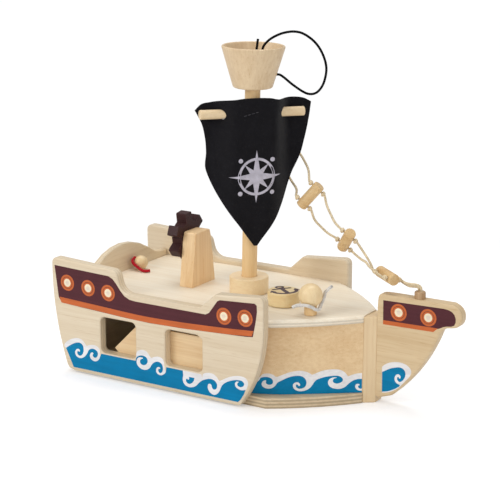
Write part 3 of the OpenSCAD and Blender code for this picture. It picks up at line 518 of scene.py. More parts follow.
def knotMesh(name, places, size, thickness):
    # a small overhand knot: a tube wound about itself round the cord
    bm = bmesh.new()
    for centre, direction in places:
        turn = direction.to_track_quat("Z", "Y").to_matrix()
        ring, sides = knotShape["points"], knotShape["sides"]
        path = []
        for i in range(ring):
            t = 2 * math.pi * i / ring
            swell = 1 + knotShape["swell"] * math.cos(3 * t)
            path.append(centre + turn @ (size * Vector((swell * math.cos(2 * t), swell * math.sin(2 * t),
                                                        knotShape["rise"] * math.sin(3 * t)))))
        rows = []
        for i, p in enumerate(path):
            ahead = (path[(i + 1) % ring] - path[i - 1]).normalized()
            side = ahead.cross((p - centre).normalized()).normalized()
            out = side.cross(ahead)
            rows.append([bm.verts.new(p + thickness / 2 * (math.cos(2 * math.pi * k / sides) * side
                                                            + math.sin(2 * math.pi * k / sides) * out))
                         for k in range(sides)])
        for i in range(ring):
            for k in range(sides):
                bm.faces.new((rows[i][k], rows[(i + 1) % ring][k], rows[(i + 1) % ring][(k + 1) % sides],
                              rows[i][(k + 1) % sides]))
    bmesh.ops.recalc_face_normals(bm, faces=bm.faces)
    mesh = bpy.data.meshes.new(name)
    bm.to_mesh(mesh)
    bm.free()
    mesh.shade_smooth()
    return mesh


knots = newObject("ladderKnots", knotMesh("ladderKnots", knotPlaces, 0.00115, 0.0017))
finishPiece(knots, "hull", [ropeCloth])
scarfEnd = newObject("scarfKnot", knotMesh("scarfKnot", [(scarfRoute[-2], scarfRoute[-1] - scarfRoute[-3])],
                                           0.0008, 0.0019))
finishPiece(scarfEnd, "mate", [redCord])
ladder, ladderLine = twistedCord("ladderRope", ladderRoute, cordLook["ladder"], 0.0062, 4, ropeCloth, 0.0005)
elastic, elasticLine = twistedCord("elasticLoop", elasticRoute, cordLook["elastic"], 0.0140, 8, blackElastic)
arms, armLine = twistedCord("sailorArms", armRoute, cordLook["arm"], 0.0052, 6, whiteCord, 0.0004)
scarf, scarfLine = twistedCord("mateScarf", scarfRoute, cordLook["scarf"], 0.0050, 6, redCord, 0.0004)
declareCord(ladder, ladderLine, cordLook["ladder"], "hull", "cream_rope", ["ladder_rope"], far_end="object",
            stiffness="limp", lay="hanging", with_pieces=[knots, "rung_upper", "rung_middle", "rung_lower"])
declareCord(elastic, elasticLine, cordLook["elastic"], "mast", "black_elastic", ["elastic_loop"], far_end="object",
            stiffness="stiff", lay="loose")
declareCord(arms, armLine, cordLook["arm"], "sailor", "white_cord", ["sailor_arms"], far_end="bare",
            stiffness="stiff", lay="loose")
declareCord(scarf, scarfLine, cordLook["scarf"], "mate", "red_cord", ["mate_scarf"], far_end="knot",
            stiffness="stiff", lay="loose", with_pieces=[scarfEnd])
print("cords made")

# wooden pieces: copies of the solids with eased edges, as (radius, material)
easing = {
    "side_panel_right": (0.0015, panelWood), "side_panel_left": (0.0015, panelWood),
    "transom": (0.0012, transomWood), "deck": (0.0005, deckWood), "base_board": (0.0006, baseWood),
    "bow_wall_right": (0.0004, bowWood), "bow_wall_left": (0.0004, bowWood), "stem_post": (0.0008, stemWood),
    "prow_plate": (0.0018, prowWood), "wheel_block": (0.0010, blockWood), "ships_wheel": (0.0008, wheelBrown),
    "mast_socket": (0.0009, socketWood), "rung_upper": (0.0008, rungWood), "rung_middle": (0.0008, rungWood),
    "rung_lower": (0.0008, rungWood), "yard": (0.0006, yardWood), "sailor_body": (0.0005, mastWood),
}
bodyOf = {node: body for body, members in frame["record"]["behaviour"]["bodies"].items() for node in members}


def camelName(name):
    first, *rest = name.split("_")
    return first + "".join(word.capitalize() for word in rest)


# angles in radians, lengths and areas in metres; reach in bevel radii; faces above the flat area stay flat
edgeRule = {"weld": 0.000002, "level": math.radians(0.4), "sharp": math.radians(38), "folded": 2.9, "sliver": 2e-9,
            "tries": 12, "segments": 3, "reach": 1.2, "reachMore": 0.3, "flat": 0.0004}


def foldsIn(bm):
    # middles of the edges where the surface doubles back on itself or is open
    test = bm.copy()
    bmesh.ops.triangulate(test, faces=test.faces)
    found = []
    for edge in test.edges:
        sides = edge.link_faces
        if len(sides) != 2 or (edge.calc_face_angle(0) > edgeRule["folded"]
                               and min(face.calc_area() for face in sides) > edgeRule["sliver"]):
            found.append((edge.verts[0].co + edge.verts[1].co) / 2)
    test.free()
    return found


def gapTo(point, edge):
    start, end = edge.verts[0].co, edge.verts[1].co
    near, share = intersect_point_line(point, start, end)
    return (point - (start if share < 0 else end if share > 1 else near)).length


def easeEdges(whole, radius):
    # bevel the sharp edges, sparing those beside a fold, until no fold is left
    spared = set()
    for turn in range(edgeRule["tries"]):
        bm = whole.copy()
        bm.edges.index_update()
        picked = [edge for edge in bm.edges if len(edge.link_faces) == 2
                  and edge.calc_face_angle(0) > edgeRule["sharp"] and edge.index not in spared]
        bmesh.ops.bevel(bm, geom=picked, offset=radius, offset_type="OFFSET", segments=edgeRule["segments"],
                        profile=0.5, affect="EDGES", clamp_overlap=False, miter_outer="ARC", loop_slide=True)
        folds = foldsIn(bm)
        if not folds:
            return bm, len(spared)
        bm.free()
        reach = radius * (edgeRule["reach"] + edgeRule["reachMore"] * turn)
        for edge in whole.edges:
            if edge.index not in spared and any(gapTo(point, edge) < reach for point in folds):
                spared.add(edge.index)
    return whole.copy(), len(whole.edges)


def easedPiece(nodeName, radius, material):
    whole = bmesh.new()
    whole.from_mesh(nodes[nodeName].data)
    bmesh.ops.remove_doubles(whole, verts=whole.verts, dist=edgeRule["weld"])
    bmesh.ops.dissolve_limit(whole, angle_limit=edgeRule["level"], verts=whole.verts,
                             edges=whole.edges)
    whole.edges.index_update()
    bm, spared = easeEdges(whole, radius)
    print("eased", nodeName, "edges left sharp", spared, "of", len(whole.edges), "folds", len(foldsIn(bm)))
    mesh = bpy.data.meshes.new(camelName(nodeName))
    bm.to_mesh(mesh)
    bm.free()
    whole.free()
    for layer in list(mesh.attributes):
        if layer.name in ("custom_normal", "sharp_face", "sharp_edge"):
            mesh.attributes.remove(layer)
    made = newObject(camelName(nodeName), mesh)
    smoothMesh(made.data, 32)
    for face in made.data.polygons:
        if face.area > edgeRule["flat"]:
            face.use_smooth = False
    made.modifiers.new("evenNormals", "WEIGHTED_NORMAL").keep_sharp = True
    bakeModifiers(made)
    return finishPiece(made, bodyOf[nodeName], [material], [nodeName])


for nodeName, (radius, material) in easing.items():
    easedPiece(nodeName, radius, material)
for nodeName, material in {"mast": mastWood, "crows_nest": nestWood, "ladder_peg": pegWood, "wheel_pin": wheelBrown,
                           "disc_pin": dowelWood, "anchor_disc": discWood, "sailor_head": ballWood,
                           "mate_head": ballWood, "hull_dowels": dowelWood, "block_dowels": dowelWood,
                           "prow_dowels": dowelWood}.items():
    nodes[nodeName].data.materials.clear()
    nodes[nodeName].data.materials.append(material)
print("wooden pieces eased")

# paint: lifts off the wood, in metres
hull = {"outerY": 0.0757, "innerY": 0.0667, "wallBend": 0.0074752, "wallRadius": 0.110,
        "wallTurn": 36.3, "prowY": 0.005}
paintLift = {"sunk": -0.00003, "white": 0.00006, "base": 0.00010, "over": 0.00014, "top": 0.00018}


def panelPlace(side):
    return lambda a, b, lift: Vector((a, side * (hull["outerY"] + lift), b))


def prowPlace(side):
    return lambda a, b, lift: Vector((a, side * (hull["prowY"] + lift), b))


def wallPlace(side):
    turnLimit = math.radians(hull["wallTurn"])

    def place(a, b, lift):
        turn = max(0.0, min(a / hull["wallRadius"], turnLimit))
        r = hull["wallRadius"] + lift
        x = hull["wallBend"] + min(a, 0) + r * math.sin(turn)
        y = hull["innerY"] - hull["wallRadius"] + r * math.cos(turn)
        past = max(0.0, a - hull["wallRadius"] * turnLimit)
        return Vector((x + past * math.cos(turnLimit), side * (y - past * math.sin(turnLimit)), b))
    return place


def paintShape(bm, outline, lift, slotIndex, place, cell=None):
    # a closed thin shape, laid on a surface by place(a, b, lift) and cut into cells where that is curved
    flat = bmesh.new()
    verts = [flat.verts.new((a, b, 0)) for a, b in outline]
    for tri in tessellate_polygon([[Vector((a, b, 0)) for a, b in outline]]):
        try:
            flat.faces.new([verts[i] for i in tri])
        except ValueError:
            pass
    for axis in (0, 1) if cell else ():
        low, high = min(point[axis] for point in outline), max(point[axis] for point in outline)
        for k in range(1, int((high - low) / cell) + 1):
            cut = Vector((0, 0, 0))
            cut[axis] = low + k * cell
            bmesh.ops.bisect_plane(flat, geom=flat.verts[:] + flat.edges[:] + flat.faces[:], plane_co=cut,
                                   plane_no=(1 - axis, axis, 0))
    above, below = ({v: bm.verts.new(place(v.co.x, v.co.y, height)) for v in flat.verts}
                    for height in (lift, paintLift["sunk"]))
    middle = flat.verts[:][0].co
    outward = place(middle.x, middle.y, 0.01) - place(middle.x, middle.y, 0)
    for face in flat.faces:
        corners = list(face.verts)
        a, b, c = (above[v].co for v in corners[:3])
        if (b - a).cross(c - a).dot(outward) < 0:
            corners.reverse()
        bm.faces.new([above[v] for v in corners]).material_index = slotIndex
        bm.faces.new([below[v] for v in corners[::-1]]).material_index = slotIndex
        for p, q in zip(corners, corners[1:] + corners[:1]):
            if len(flat.edges.get((p, q)).link_faces) == 1:
                bm.faces.new((above[q], above[p], below[p], below[q])).material_index = slotIndex
    flat.free()


def paintRibbon(bm, points, width, lift, slotIndex, place, step=0.0006, rounded=True):
    line = smoothLine([Vector((a, b, 0)) for a, b in points], step)
    left, right = [], []
    for i, p in enumerate(line):
        ahead = (line[min(i + 1, len(line) - 1)] - line[max(i - 1, 0)]).normalized()
        side = Vector((-ahead.y, ahead.x, 0)) * width / 2
        left.append(p + side)
        right.append(p - side)
    for i in range(len(line) - 1):
        paintShape(bm, [(q.x, q.y) for q in (left[i], left[i + 1], right[i + 1], right[i])], lift, slotIndex, place)
    for p in (line[0], line[-1]) if rounded else ():
        paintShape(bm, roundSpot(p.x, p.y, width / 2, 14), lift, slotIndex, place)


def roundSpot(a, b, r, count=40):
    return [(a + r * math.cos(2 * math.pi * k / count), b + r * math.sin(2 * math.pi * k / count))
            for k in range(count)]


def paintPiece(name, body, materials, build):
    bm = bmesh.new()
    build(bm)
    mesh = bpy.data.meshes.new(name)
    bm.to_mesh(mesh)
    bm.free()
    made = newObject(name, mesh)
    return finishPiece(made, body, materials)


def mm(points):
    return [(a / 1000, b / 1000) for a, b in points]


def softLine(points, step=0.0012):
    return [(p.x, p.y) for p in smoothLine([Vector((a, b, 0)) for a, b in mm(points)], step)]


seaPaints = [whitePaint, bluePaint, maroonPaint, orangePaint]
# outlines in mm: along the board and up; each blue crest line runs into its curls and out again
panelSea = {
    "aft": [
        (-142, 21), (-139.3, 23), (-136.3, 24.9), (-132.9, 26.8), (-129.5, 28), (-126.7, 28.3), (-124.7, 27.6),
        (-123.2, 26.1), (-122.6, 23.7), (-122.8, 20.9), (-123.7, 18.7), (-125.3, 17), (-127, 16.4), (-128.6, 16.8),
        (-129.6, 18), (-129.6, 19.5), (-128.7, 20.6), (-127.6, 19.8), (-126.7, 20.9), (-127.1, 22), (-128.9, 22.5),
        (-130.8, 21.4), (-132.1, 19.1), (-131.8, 16.9), (-130.4, 15.2), (-128, 14.3), (-125.3, 14.5), (-122.5, 15.8),
        (-120.2, 17.9), (-118.5, 20.3), (-117.6, 22.3), (-115.9, 24.1), (-113.7, 25.1), (-111.1, 25.2),
        (-108.9, 24.4), (-107.4, 23), (-107.1, 21.2), (-107.7, 19.3), (-109.2, 17.7), (-110.9, 17.4), (-112.3, 18.3),
        (-112.9, 19.5), (-112.1, 20.5), (-112.3, 21.6), (-113.6, 21.8), (-115.1, 20.7), (-115.9, 18.7),
        (-115.5, 16.4), (-113.6, 14.8), (-110.8, 14.1), (-107.8, 15.1), (-105.8, 17.1), (-105, 18.9)],
    "middle": [
        (-66.2, 25.1), (-64.3, 26.9), (-60.8, 28.2), (-57.3, 28), (-55, 26.6), (-54.2, 24.3), (-54.9, 22.1),
        (-56.9, 20.4), (-59.3, 19.9), (-61.5, 20.7), (-62.3, 22.7), (-61.1, 24.8), (-59.2, 25.6), (-59.4, 26.3),
        (-62.2, 26.4), (-64.8, 24.9), (-65.8, 22.5), (-65.6, 19.9), (-63.4, 17.3), (-60.1, 15.9), (-56.2, 16.1),
        (-52.7, 17.9), (-51, 20.2), (-49.8, 22.1), (-47.7, 24.1), (-44.9, 25.4), (-42.2, 25.5), (-39.9, 24.3),
        (-38.7, 22.1), (-38.6, 19.4), (-39.4, 17.2), (-41.1, 15.9), (-42.6, 16.4), (-43.4, 17.9), (-43, 19.2),
        (-41.3, 19.7), (-41.8, 21), (-44, 20.8), (-45.5, 18.8), (-45.4, 16), (-43.1, 14.2), (-39.9, 14.2),
        (-37.1, 16), (-35.6, 17.9)],
    "fore": [
        (-17.8, 18), (-18.2, 16.6), (-18.4, 14), (-17.2, 11.1), (-14.5, 9.2), (-10.5, 8.9), (-6.4, 10.3),
        (-3.7, 12.5), (-1.7, 14.7), (1.6, 17.3), (6.3, 19.3), (10.3, 20), (13.6, 19.1), (15.8, 16.7), (15.8, 13.7),
        (14.3, 11.7), (12.3, 11.4), (11, 12.6), (10.6, 14.2), (9.5, 15.6), (7.6, 15.3), (6.7, 13.5), (7, 10.7),
        (9.1, 7.8), (12.8, 6.6), (16.1, 8.2), (18.4, 11.1), (20.8, 16.2), (24.7, 19.7), (30, 22.3), (35.1, 23.7),
        (39.7, 23.9), (42, 22.5), (42.4, 20.9), (41.1, 19.1), (38.8, 18.2), (36.7, 18.7), (35.7, 20.1), (36.3, 21.6),
        (37.5, 22.5), (35.1, 22.4), (33.6, 20.8), (33.6, 18.8), (35.1, 16.9), (38.4, 15.8), (41.6, 16), (43.9, 17)],
    "island": [
        (-11.9, 17.9), (-6.5, 17.9), (-7, 15.6), (-8.7, 13.2), (-11.3, 11.6), (-13.7, 12), (-15.1, 13.6), (-15, 15.3),
        (-13.9, 16), (-12.8, 15), (-11.9, 16.1)],
    "foamAft": [
        (-142.4, 21.3), (-143.8, 22.4), (-143.5, 24.5), (-140.3, 27.6), (-135.2, 30.5), (-129.6, 32.1),
        (-124.7, 31.6), (-121, 28.6), (-119.3, 26.8), (-116.6, 27.8), (-112.8, 28.7), (-108.5, 28.4), (-105.6, 26.7),
        (-104.9, 24.2), (-104.9, 21), (-103.6, 18.6)],
    "foamMiddle": [
        (-66.1, 25.1), (-66, 29.4), (-63.9, 31.9), (-60, 33.3), (-55.1, 32.5), (-51.8, 28.9), (-50.4, 27.8),
        (-47.6, 29.1), (-42.8, 30.2), (-38.7, 28.9), (-37.2, 25.1), (-36.9, 22), (-35.8, 18.9)],
    "foamFore": [
        (1.4, 19), (2.1, 22.9), (7, 24.9), (12.3, 24.7), (16.2, 22.3), (18.2, 19.9), (22.1, 21.9), (26.7, 24.4),
        (32.6, 26.7), (38.4, 27.7), (43.2, 27.1), (45.6, 25), (46.1, 21.4), (44.4, 16.9)],
    "sill": 22.3,
    "foot": 4.8}
wallSea = {
    "crest": [
        (18, 14.5), (24, 17.5), (30, 15), (36, 17.5), (40.6, 21.3), (41.2, 22.8), (43.1, 23.7), (46.3, 24.1),
        (49.1, 23.5), (51.2, 22), (51.8, 20.1), (51.2, 18.4), (49.8, 17.5), (48, 17.4), (46.3, 18.2), (45.8, 19.6),
        (46.1, 20.8), (45.2, 21.2), (43.5, 20.3), (42.4, 18.7), (42.4, 16.7), (44, 14.9), (47.2, 13.9), (50.5, 14.4),
        (53.2, 16.2), (54.8, 18.5), (56, 19.8), (59.2, 21.5), (63.7, 23.7), (68.3, 25), (72.9, 25.2), (76.1, 24.4),
        (78.3, 22.4), (79.4, 19.6), (79, 16.9), (77.6, 15), (75.3, 14.1), (73, 14), (71.1, 15.2), (70.6, 16.8),
        (71.1, 17.7), (72.2, 17.4), (73, 16.3), (74.2, 16.8), (73.7, 18.6), (72.2, 19.6), (70.2, 19.5), (68.5, 18.2),
        (68.2, 16.1), (69.3, 13.8), (71.6, 12.3), (74.8, 11.7), (78.5, 12.3), (81.7, 13.9), (84, 16.4), (85.8, 19.3),
        (87.7, 21.3), (91.3, 22.7), (95, 23.7), (100.6, 24.4), (105.2, 24.4), (108, 23.3), (109.7, 21.2),
        (109.1, 19.3), (107.1, 18.1), (104.8, 17.6), (102.5, 18.2), (101.4, 19.5), (101.5, 21.2), (102.9, 22.3),
        (105, 22.8), (102, 23.1), (99.2, 22.2), (97.6, 20.3), (97.3, 18), (98.6, 15.4), (101.2, 13.7), (104.9, 12.9),
        (108.6, 13.2), (111.8, 14.7), (114.1, 16.9), (116.3, 18.8), (119.1, 20.3), (122.3, 21.1), (125.6, 21.1)],
    "lastCurl": [
        (125.6, 12.7), (124.1, 12.6), (122.7, 13.6), (122.4, 15), (123.4, 15.5), (123.6, 16.5), (121.9, 17),
        (120.4, 16.3), (119.9, 14.4), (121.1, 12.2), (123.2, 10.9), (125.6, 10.9)],
    "foam": [
        (18, 17.5), (24, 20.5), (30, 19.5), (36, 20.5), (41.2, 24.2), (43.1, 26.3), (46.3, 27.1), (49.5, 27),
        (52.3, 25.9), (54.1, 24.3), (57.3, 25.3), (61, 26.8), (66.4, 28.7), (73.8, 29.6), (79.3, 28.5), (82.5, 26.8),
        (84.4, 25.9), (88.5, 27.6), (94, 29.4), (100.5, 30.1), (106.9, 29.5), (111.1, 27.3), (113, 24.9),
        (114.2, 23.7), (117.2, 24.9), (121.8, 26), (125.5, 26.1)],
    "foot": 9.2}
prowSea = {
    "crest": [
        (132.4, 27.7), (136.4, 30.1), (140.3, 32.2), (144.3, 33.6), (147.7, 34.4), (150.6, 34.1), (152.6, 32.7),
        (153.7, 30.5), (153.6, 27.8), (152.5, 25.2), (150.9, 23.3), (149.5, 22.2), (148.3, 21.9), (147.2, 22.6),
        (146.3, 23.8), (146.3, 25.1), (146.9, 26), (147.7, 25.9), (148.1, 24.9), (148.8, 24.9), (149.5, 26),
        (149, 27.6), (147.4, 28.4), (145.5, 27.7), (144.2, 25.8), (143.9, 23.9), (144.6, 21.6), (146.5, 20),
        (149, 19.4)],
    "under": [
        (148.2, 17.9), (144.8, 15.4), (140.2, 12.9), (136.8, 11.6), (132.6, 10.6)],
    "foam": [
        (132.2, 32), (133.4, 33.4), (136.2, 35.5), (139.7, 37.2), (143.6, 38.3), (148.2, 38.8), (152.2, 38.3),
        (155.6, 37), (157.9, 35), (158.9, 32.5), (158.4, 29.8), (156.5, 26.7), (153.7, 23.5), (151, 20.3), (149, 18),
        (145.4, 14.9), (140.8, 12.2), (136.8, 10.6), (132.6, 9.8)]}


panelBands = {
    "maroon": [
        (-152, 95), (-93.8, 93.2), (-89.5, 91.3), (-86, 87.8), (-81.5, 82), (-77.5, 78), (-72.2, 75.7), (-66, 75.1),
        (5, 75), (8.5, 77), (16.5, 88), (19, 89.4), (52.5, 91.6), (54.4, 90.2), (54.6, 84.4), (53.2, 75),
        (50.7, 63.2), (44.2, 62.4), (28.8, 61.6), (5.3, 60.4), (-18.6, 59.2), (-51.2, 58.4), (-76.2, 58.9),
        (-110.3, 60.4), (-145, 61.9), (-148.4, 66.7)],
    "orangeLow": [
        (-145.6, 62), (-110.3, 60.6), (-76.2, 59.1), (-51.2, 58.6), (-18.6, 59.4), (5.3, 60.5), (28.8, 61.8),
        (49.6, 63.6)],
    "orangeWide": 5,
    "orangeEnds": [(-147.6, 67), (51.6, 68.4)]}
prowBands = {
    "maroon": [
        (132.1, 89.3), (186, 90.4), (190.2, 90), (193.4, 88.8), (195.6, 86.6), (196.7, 83.6), (196.7, 80.4),
        (195.6, 77.9), (193, 76.6), (189.6, 76.2), (186.2, 75.2), (183, 73.4), (180.5, 72.6), (132.3, 71)],
    "orange": [(132.3, 68.9), (177.4, 69.6), (181.4, 73.3), (132.3, 72.4)]}


def panelPaint(side):
    place = panelPlace(side)

    def build(bm):
        paintShape(bm, mm(panelBands["maroon"]), paintLift["base"], 2, place)
        low = panelBands["orangeLow"]
        high = [(x, z + panelBands["orangeWide"]) for x, z in low]
        high[0], high[-1] = panelBands["orangeEnds"]
        paintShape(bm, softLine(low, 0.006) + softLine(high, 0.006)[::-1], paintLift["over"], 3, place)
        sill, foot = panelSea["sill"], panelSea["foot"]
        blue = softLine(panelSea["aft"], 0.0008)
        blue += mm([(-103.4, sill), (-66.9, sill)])
        blue += softLine(panelSea["middle"], 0.0008) + mm([(-35.0, sill), (-18.3, sill)])
        blue += softLine(panelSea["fore"], 0.0008) + mm([(42.2, 12.6), (39.0, 7.4), (36.4, foot), (-134.1, foot)])
        paintShape(bm, blue, paintLift["base"], 1, place)
        paintShape(bm, mm(panelSea["island"]), paintLift["base"], 1, place)
        paintShape(bm, softLine(panelSea["foamAft"]) + mm([(-103.6, 12), (-136.5, 12)]), paintLift["white"], 0, place)
        paintShape(bm, softLine(panelSea["foamMiddle"]) + mm([(-35.8, 12), (-65.6, 12)]), paintLift["white"], 0,
                   place)
        paintShape(bm, mm([(-18.6, sill), (0.4, sill)]) + softLine(panelSea["foamFore"])
                   + mm([(41, 13.5), (37, 7.5), (33, 6), (-15, 6), (-18.6, 9)]), paintLift["white"], 0, place)
    return build


def wallPaint(side):
    place = wallPlace(side)

    def build(bm):
        foot = wallSea["foot"]
        blue = softLine(wallSea["crest"], 0.0008) + softLine(wallSea["lastCurl"], 0.0008)
        paintShape(bm, blue + mm([(125.6, foot), (18, foot)]), paintLift["base"], 1, place, 0.003)
        foam = softLine(wallSea["foam"]) + mm([(125.5, foot + 1), (18.5, foot + 1)])
        paintShape(bm, foam, paintLift["white"], 0, place, 0.003)
    return build


def prowPaint(side):
    place = prowPlace(side)

    def build(bm):
        paintShape(bm, mm(prowBands["maroon"]), paintLift["base"], 2, place)
        paintShape(bm, mm(prowBands["orange"]), paintLift["over"], 3, place)
        paintShape(bm, softLine(prowSea["foam"]), paintLift["white"], 0, place)
        paintShape(bm, softLine(prowSea["crest"], 0.0006) + softLine(prowSea["under"]), paintLift["base"], 1, place)
    return build


for side, word in ((-1, "Right"), (1, "Left")):
    paintPiece("panelPaint" + word, "hull", seaPaints, panelPaint(side))
    paintPiece("wallPaint" + word, "hull", seaPaints, wallPaint(side))
    paintPiece("prowPaint" + word, "hull", seaPaints, prowPaint(side))
print("bands and waves painted")


# Geometry Nodes: thin painted discs on given points, for the portholes
def makeDiscTree():
    tree, given, result = newShapeTree("paintedDiscs", [
        ("Radius", "Float", 0.007), ("Lift", "Float", 0.0002)])
    disc = put(tree, "GeometryNodeMeshCylinder",
               {"Vertices": 48, "Radius": given["Radius"], "Depth": figure(tree, "MULTIPLY", given["Lift"], 2.0)})
    spots = put(tree, "GeometryNodeInstanceOnPoints",
                {"Points": given["Geometry"], "Instance": disc.outputs["Mesh"],
                 "Rotation": (math.pi / 2, 0, 0)}).outputs[0]
    return endShapeTree(tree, spots, given, result)


portholes = {"radius": 0.0072, "panel": [(-138.3, 80.9), (-115.9, 79.4), (-94.6, 78.2), (23.0, 76.4), (43.4, 77.9)],
             "prow": [(146.3, 81.0), (172.8, 80.9)],
             "rings": [(1.0, orangePaint), (0.74, maroonPaint), (0.69, orangePaint), (0.50, creamPaint),
                       (0.25, greyPaint)]}
discTree = makeDiscTree()


def pointMesh(name, points):
    mesh = bpy.data.meshes.new(name)
    mesh.from_pydata([tuple(p) for p in points], [], [])
    return mesh


def joinPieces(name, pieces):
    with bpy.context.temp_override(active_object=pieces[0], selected_editable_objects=pieces,
                                   selected_objects=pieces, object=pieces[0]):
        bpy.ops.object.join()
    pieces[0].name = name
    return pieces[0]


for side, word in ((-1, "Right"), (1, "Left")):
    spots = [Vector((x / 1000, side * hull["outerY"], z / 1000)) for x, z in portholes["panel"]]
    spots += [Vector((x / 1000, side * hull["prowY"], z / 1000)) for x, z in portholes["prow"]]
    layers = []
    for i, (share, material) in enumerate(portholes["rings"]):
        layers.append(withTree("portholeLayer", pointMesh("portholeLayer", spots), discTree,
                               {"Radius": portholes["radius"] * share, "Lift": paintLift["top"] + 0.00004 * i,
                                "Finish": material}))
    finishPiece(joinPieces("portholes" + word, layers), "hull")
print("portholes painted")

# the sail: outlines in mm, along the yard and up
sail = {"thickness": 0.0018, "tip": 119, "yardZ": 0.2315, "yardHole": 0.00415,
        "yardCut": 0.115, "columns": 110, "rows": 120,
        "left": [(119, 0.0), (129.3, -7.5), (148, -20.8), (168, -31.8), (185, -38.4), (199, -37.8), (210, -38.8),
                 (222, -41.7), (230, -45.6), (235, -48.5)],
        "right": [(119, 2.8), (138.4, 17.4), (155.7, 27.8), (174.3, 36.2), (192.8, 44.6), (206.5, 48.7),
                  (221.4, 51.8), (238, 53.8)],
        "top": [(-48.5, 235), (-43, 240), (-35, 241.6), (-20, 244.2), (-7.5, 245.3), (12, 244.8), (24, 242.4),
                (37, 242.6), (47, 241.3), (53.8, 238)]}


def alongTable(table, value):
    # smooth reading of a table of pairs
    last = len(table) - 1
    i = next((k for k in range(last) if value <= table[k + 1][0]), last - 1)
    (x0, y0), (x1, y1) = table[i], table[i + 1]
    t = max(0.0, min(1.0, (value - x0) / (x1 - x0)))
    before, after = table[max(i - 1, 0)], table[min(i + 2, last)]
    slope0 = (y1 - before[1]) / (x1 - before[0]) * (x1 - x0)
    slope1 = (after[1] - y0) / (after[0] - x0) * (x1 - x0)
    return ((2 * t ** 3 - 3 * t ** 2 + 1) * y0 + (t ** 3 - 2 * t ** 2 + t) * slope0
            + (-2 * t ** 3 + 3 * t ** 2) * y1 + (t ** 3 - t ** 2) * slope1)


# all in mm: the felt lies before the mast in the middle and behind it at the sides, with ripples between
drape = {"from": 225, "fall": 105, "turnStart": (15, -4), "turnEnd": (35, 9), "back": -5.3, "bulge": 15.6,
         "slits": (-27, 29), "slitZ": 233, "cornerZ": 196, "cornerDepth": 2.6, "mastHalf": 8.5, "overMast": 7.9}


def sailDepth(u, z):
    # distance of the felt's middle in front of the mast's axis
    down = max(0.0, min(1.0, (drape["from"] - z) / drape["fall"]))
    start, end = (a + b * down for a, b in (drape["turnStart"], drape["turnEnd"]))
    t = max(0.0, min(1.0, (abs(u) - start) / (end - start)))
    ease = (1 + math.cos(math.pi * t)) / 2
    n = drape["back"] + drape["bulge"] * ease
    n += 0.8 * math.sin(u / 7.5 + z / 23) * (1 - ease) * min(1.0, down * 3)
    n += 0.7 * noise.noise(Vector((u / 17, z / 22, 3.1))) + 0.25 * noise.noise(Vector((u / 6, z / 8, 7.7)))
    for slit in drape["slits"]:
        up = z - drape["slitZ"]
        n += 1.1 * math.exp(-((u - slit) ** 2 / 90 + up ** 2 / 120)) * math.sin(up / 4.2)
    if u < -32:
        n -= drape["cornerDepth"] * math.exp(-((z - drape["cornerZ"]) ** 2) / 260) * min(1.0, (-32 - u) / 7)
    return max(n, drape["overMast"] + 0.9 * math.cos(u / 4)) if abs(u) < drape["mastHalf"] else n


def sailPoint(u, z, lift=0.0):
    # u and z in metres; lift above the felt's front face
    def at(a, b):
        return byMast(a, sailDepth(a * 1000, b * 1000) / 1000, b)
    here = at(u, z)
    normal = (at(u + 0.0005, z) - here).cross(at(u, z + 0.0005) - here).normalized()
    return here + normal * (lift + sail["thickness"] / 2) if lift is not None else here


def makeSail(values):
    bm = bmesh.new()
    grid, area, tip = [], 0.0, values["tip"]
    for j in range(values["rows"] + 1):
        v = j / values["rows"]
        zLeft, zRight = (tip + v * (values["top"][end][1] - tip) for end in (0, -1))
        left, right = alongTable(values["left"], zLeft), alongTable(values["right"], zRight)
        row = []
        for i in range(values["columns"] + 1):
            s = i / values["columns"]
            top = alongTable(values["top"], values["top"][0][0] + s * (values["top"][-1][0] - values["top"][0][0]))
            u, z = left + (right - left) * s, tip + v * (top - tip)
            row.append(bm.verts.new(sailPoint(u / 1000, z / 1000, None)))
        grid.append(row)
    for j in range(values["rows"]):
        for i in range(values["columns"]):
            face = bm.faces.new((grid[j][i], grid[j][i + 1], grid[j + 1][i + 1], grid[j + 1][i]))
            area += face.calc_area()
    mesh = bpy.data.meshes.new("sailFelt")
    bm.to_mesh(mesh)
    bm.free()
    made = newObject("sailFelt", mesh)
    thick = made.modifiers.new("feltThickness", "SOLIDIFY")
    thick.thickness, thick.offset, thick.use_even_offset = values["thickness"], 0, True
    cutMesh = bpy.data.meshes.new("yardCut")
    cut = bmesh.new()
    bmesh.ops.create_cone(cut, cap_ends=True, segments=40, radius1=values["yardHole"],
                          radius2=values["yardHole"], depth=values["yardCut"])
    h = math.radians(mast["heading"])
    along = Vector((math.cos(h), math.sin(h), 0)).to_track_quat("Z", "Y").to_matrix().to_4x4()
    cut.transform(Matrix.Translation(byMast(0, 0, values["yardZ"])) @ along)
    cut.to_mesh(cutMesh)
    cut.free()
    cutter = newObject("yardCut", cutMesh)
    slits = made.modifiers.new("yardSlits", "BOOLEAN")
    slits.operation, slits.object, slits.solver = "DIFFERENCE", cutter, "EXACT"
    bakeModifiers(made)
    bpy.data.objects.remove(cutter)
    smoothMesh(made.data, 40)
    finishPiece(made, "mast", [feltCloth], ["sail"])
    return made, area


sailPiece, sailArea = makeSail(sail)
print("sail made, area", round(sailArea, 5))

# prints: a compass on the sail, an anchor on the disc
compass = {"centre": (0.0010, 0.1790), "reach": 0.0225, "waist": 0.0045, "shortPart": 0.66, "shortWaist": 0.0040,
           "ring": 0.0150, "ringWidth": 0.0022, "dots": 0.0198, "dotRadius": 0.0019}
compassLift = {"ring": 0.00006, "low": 0.00009, "high": 0.00012}


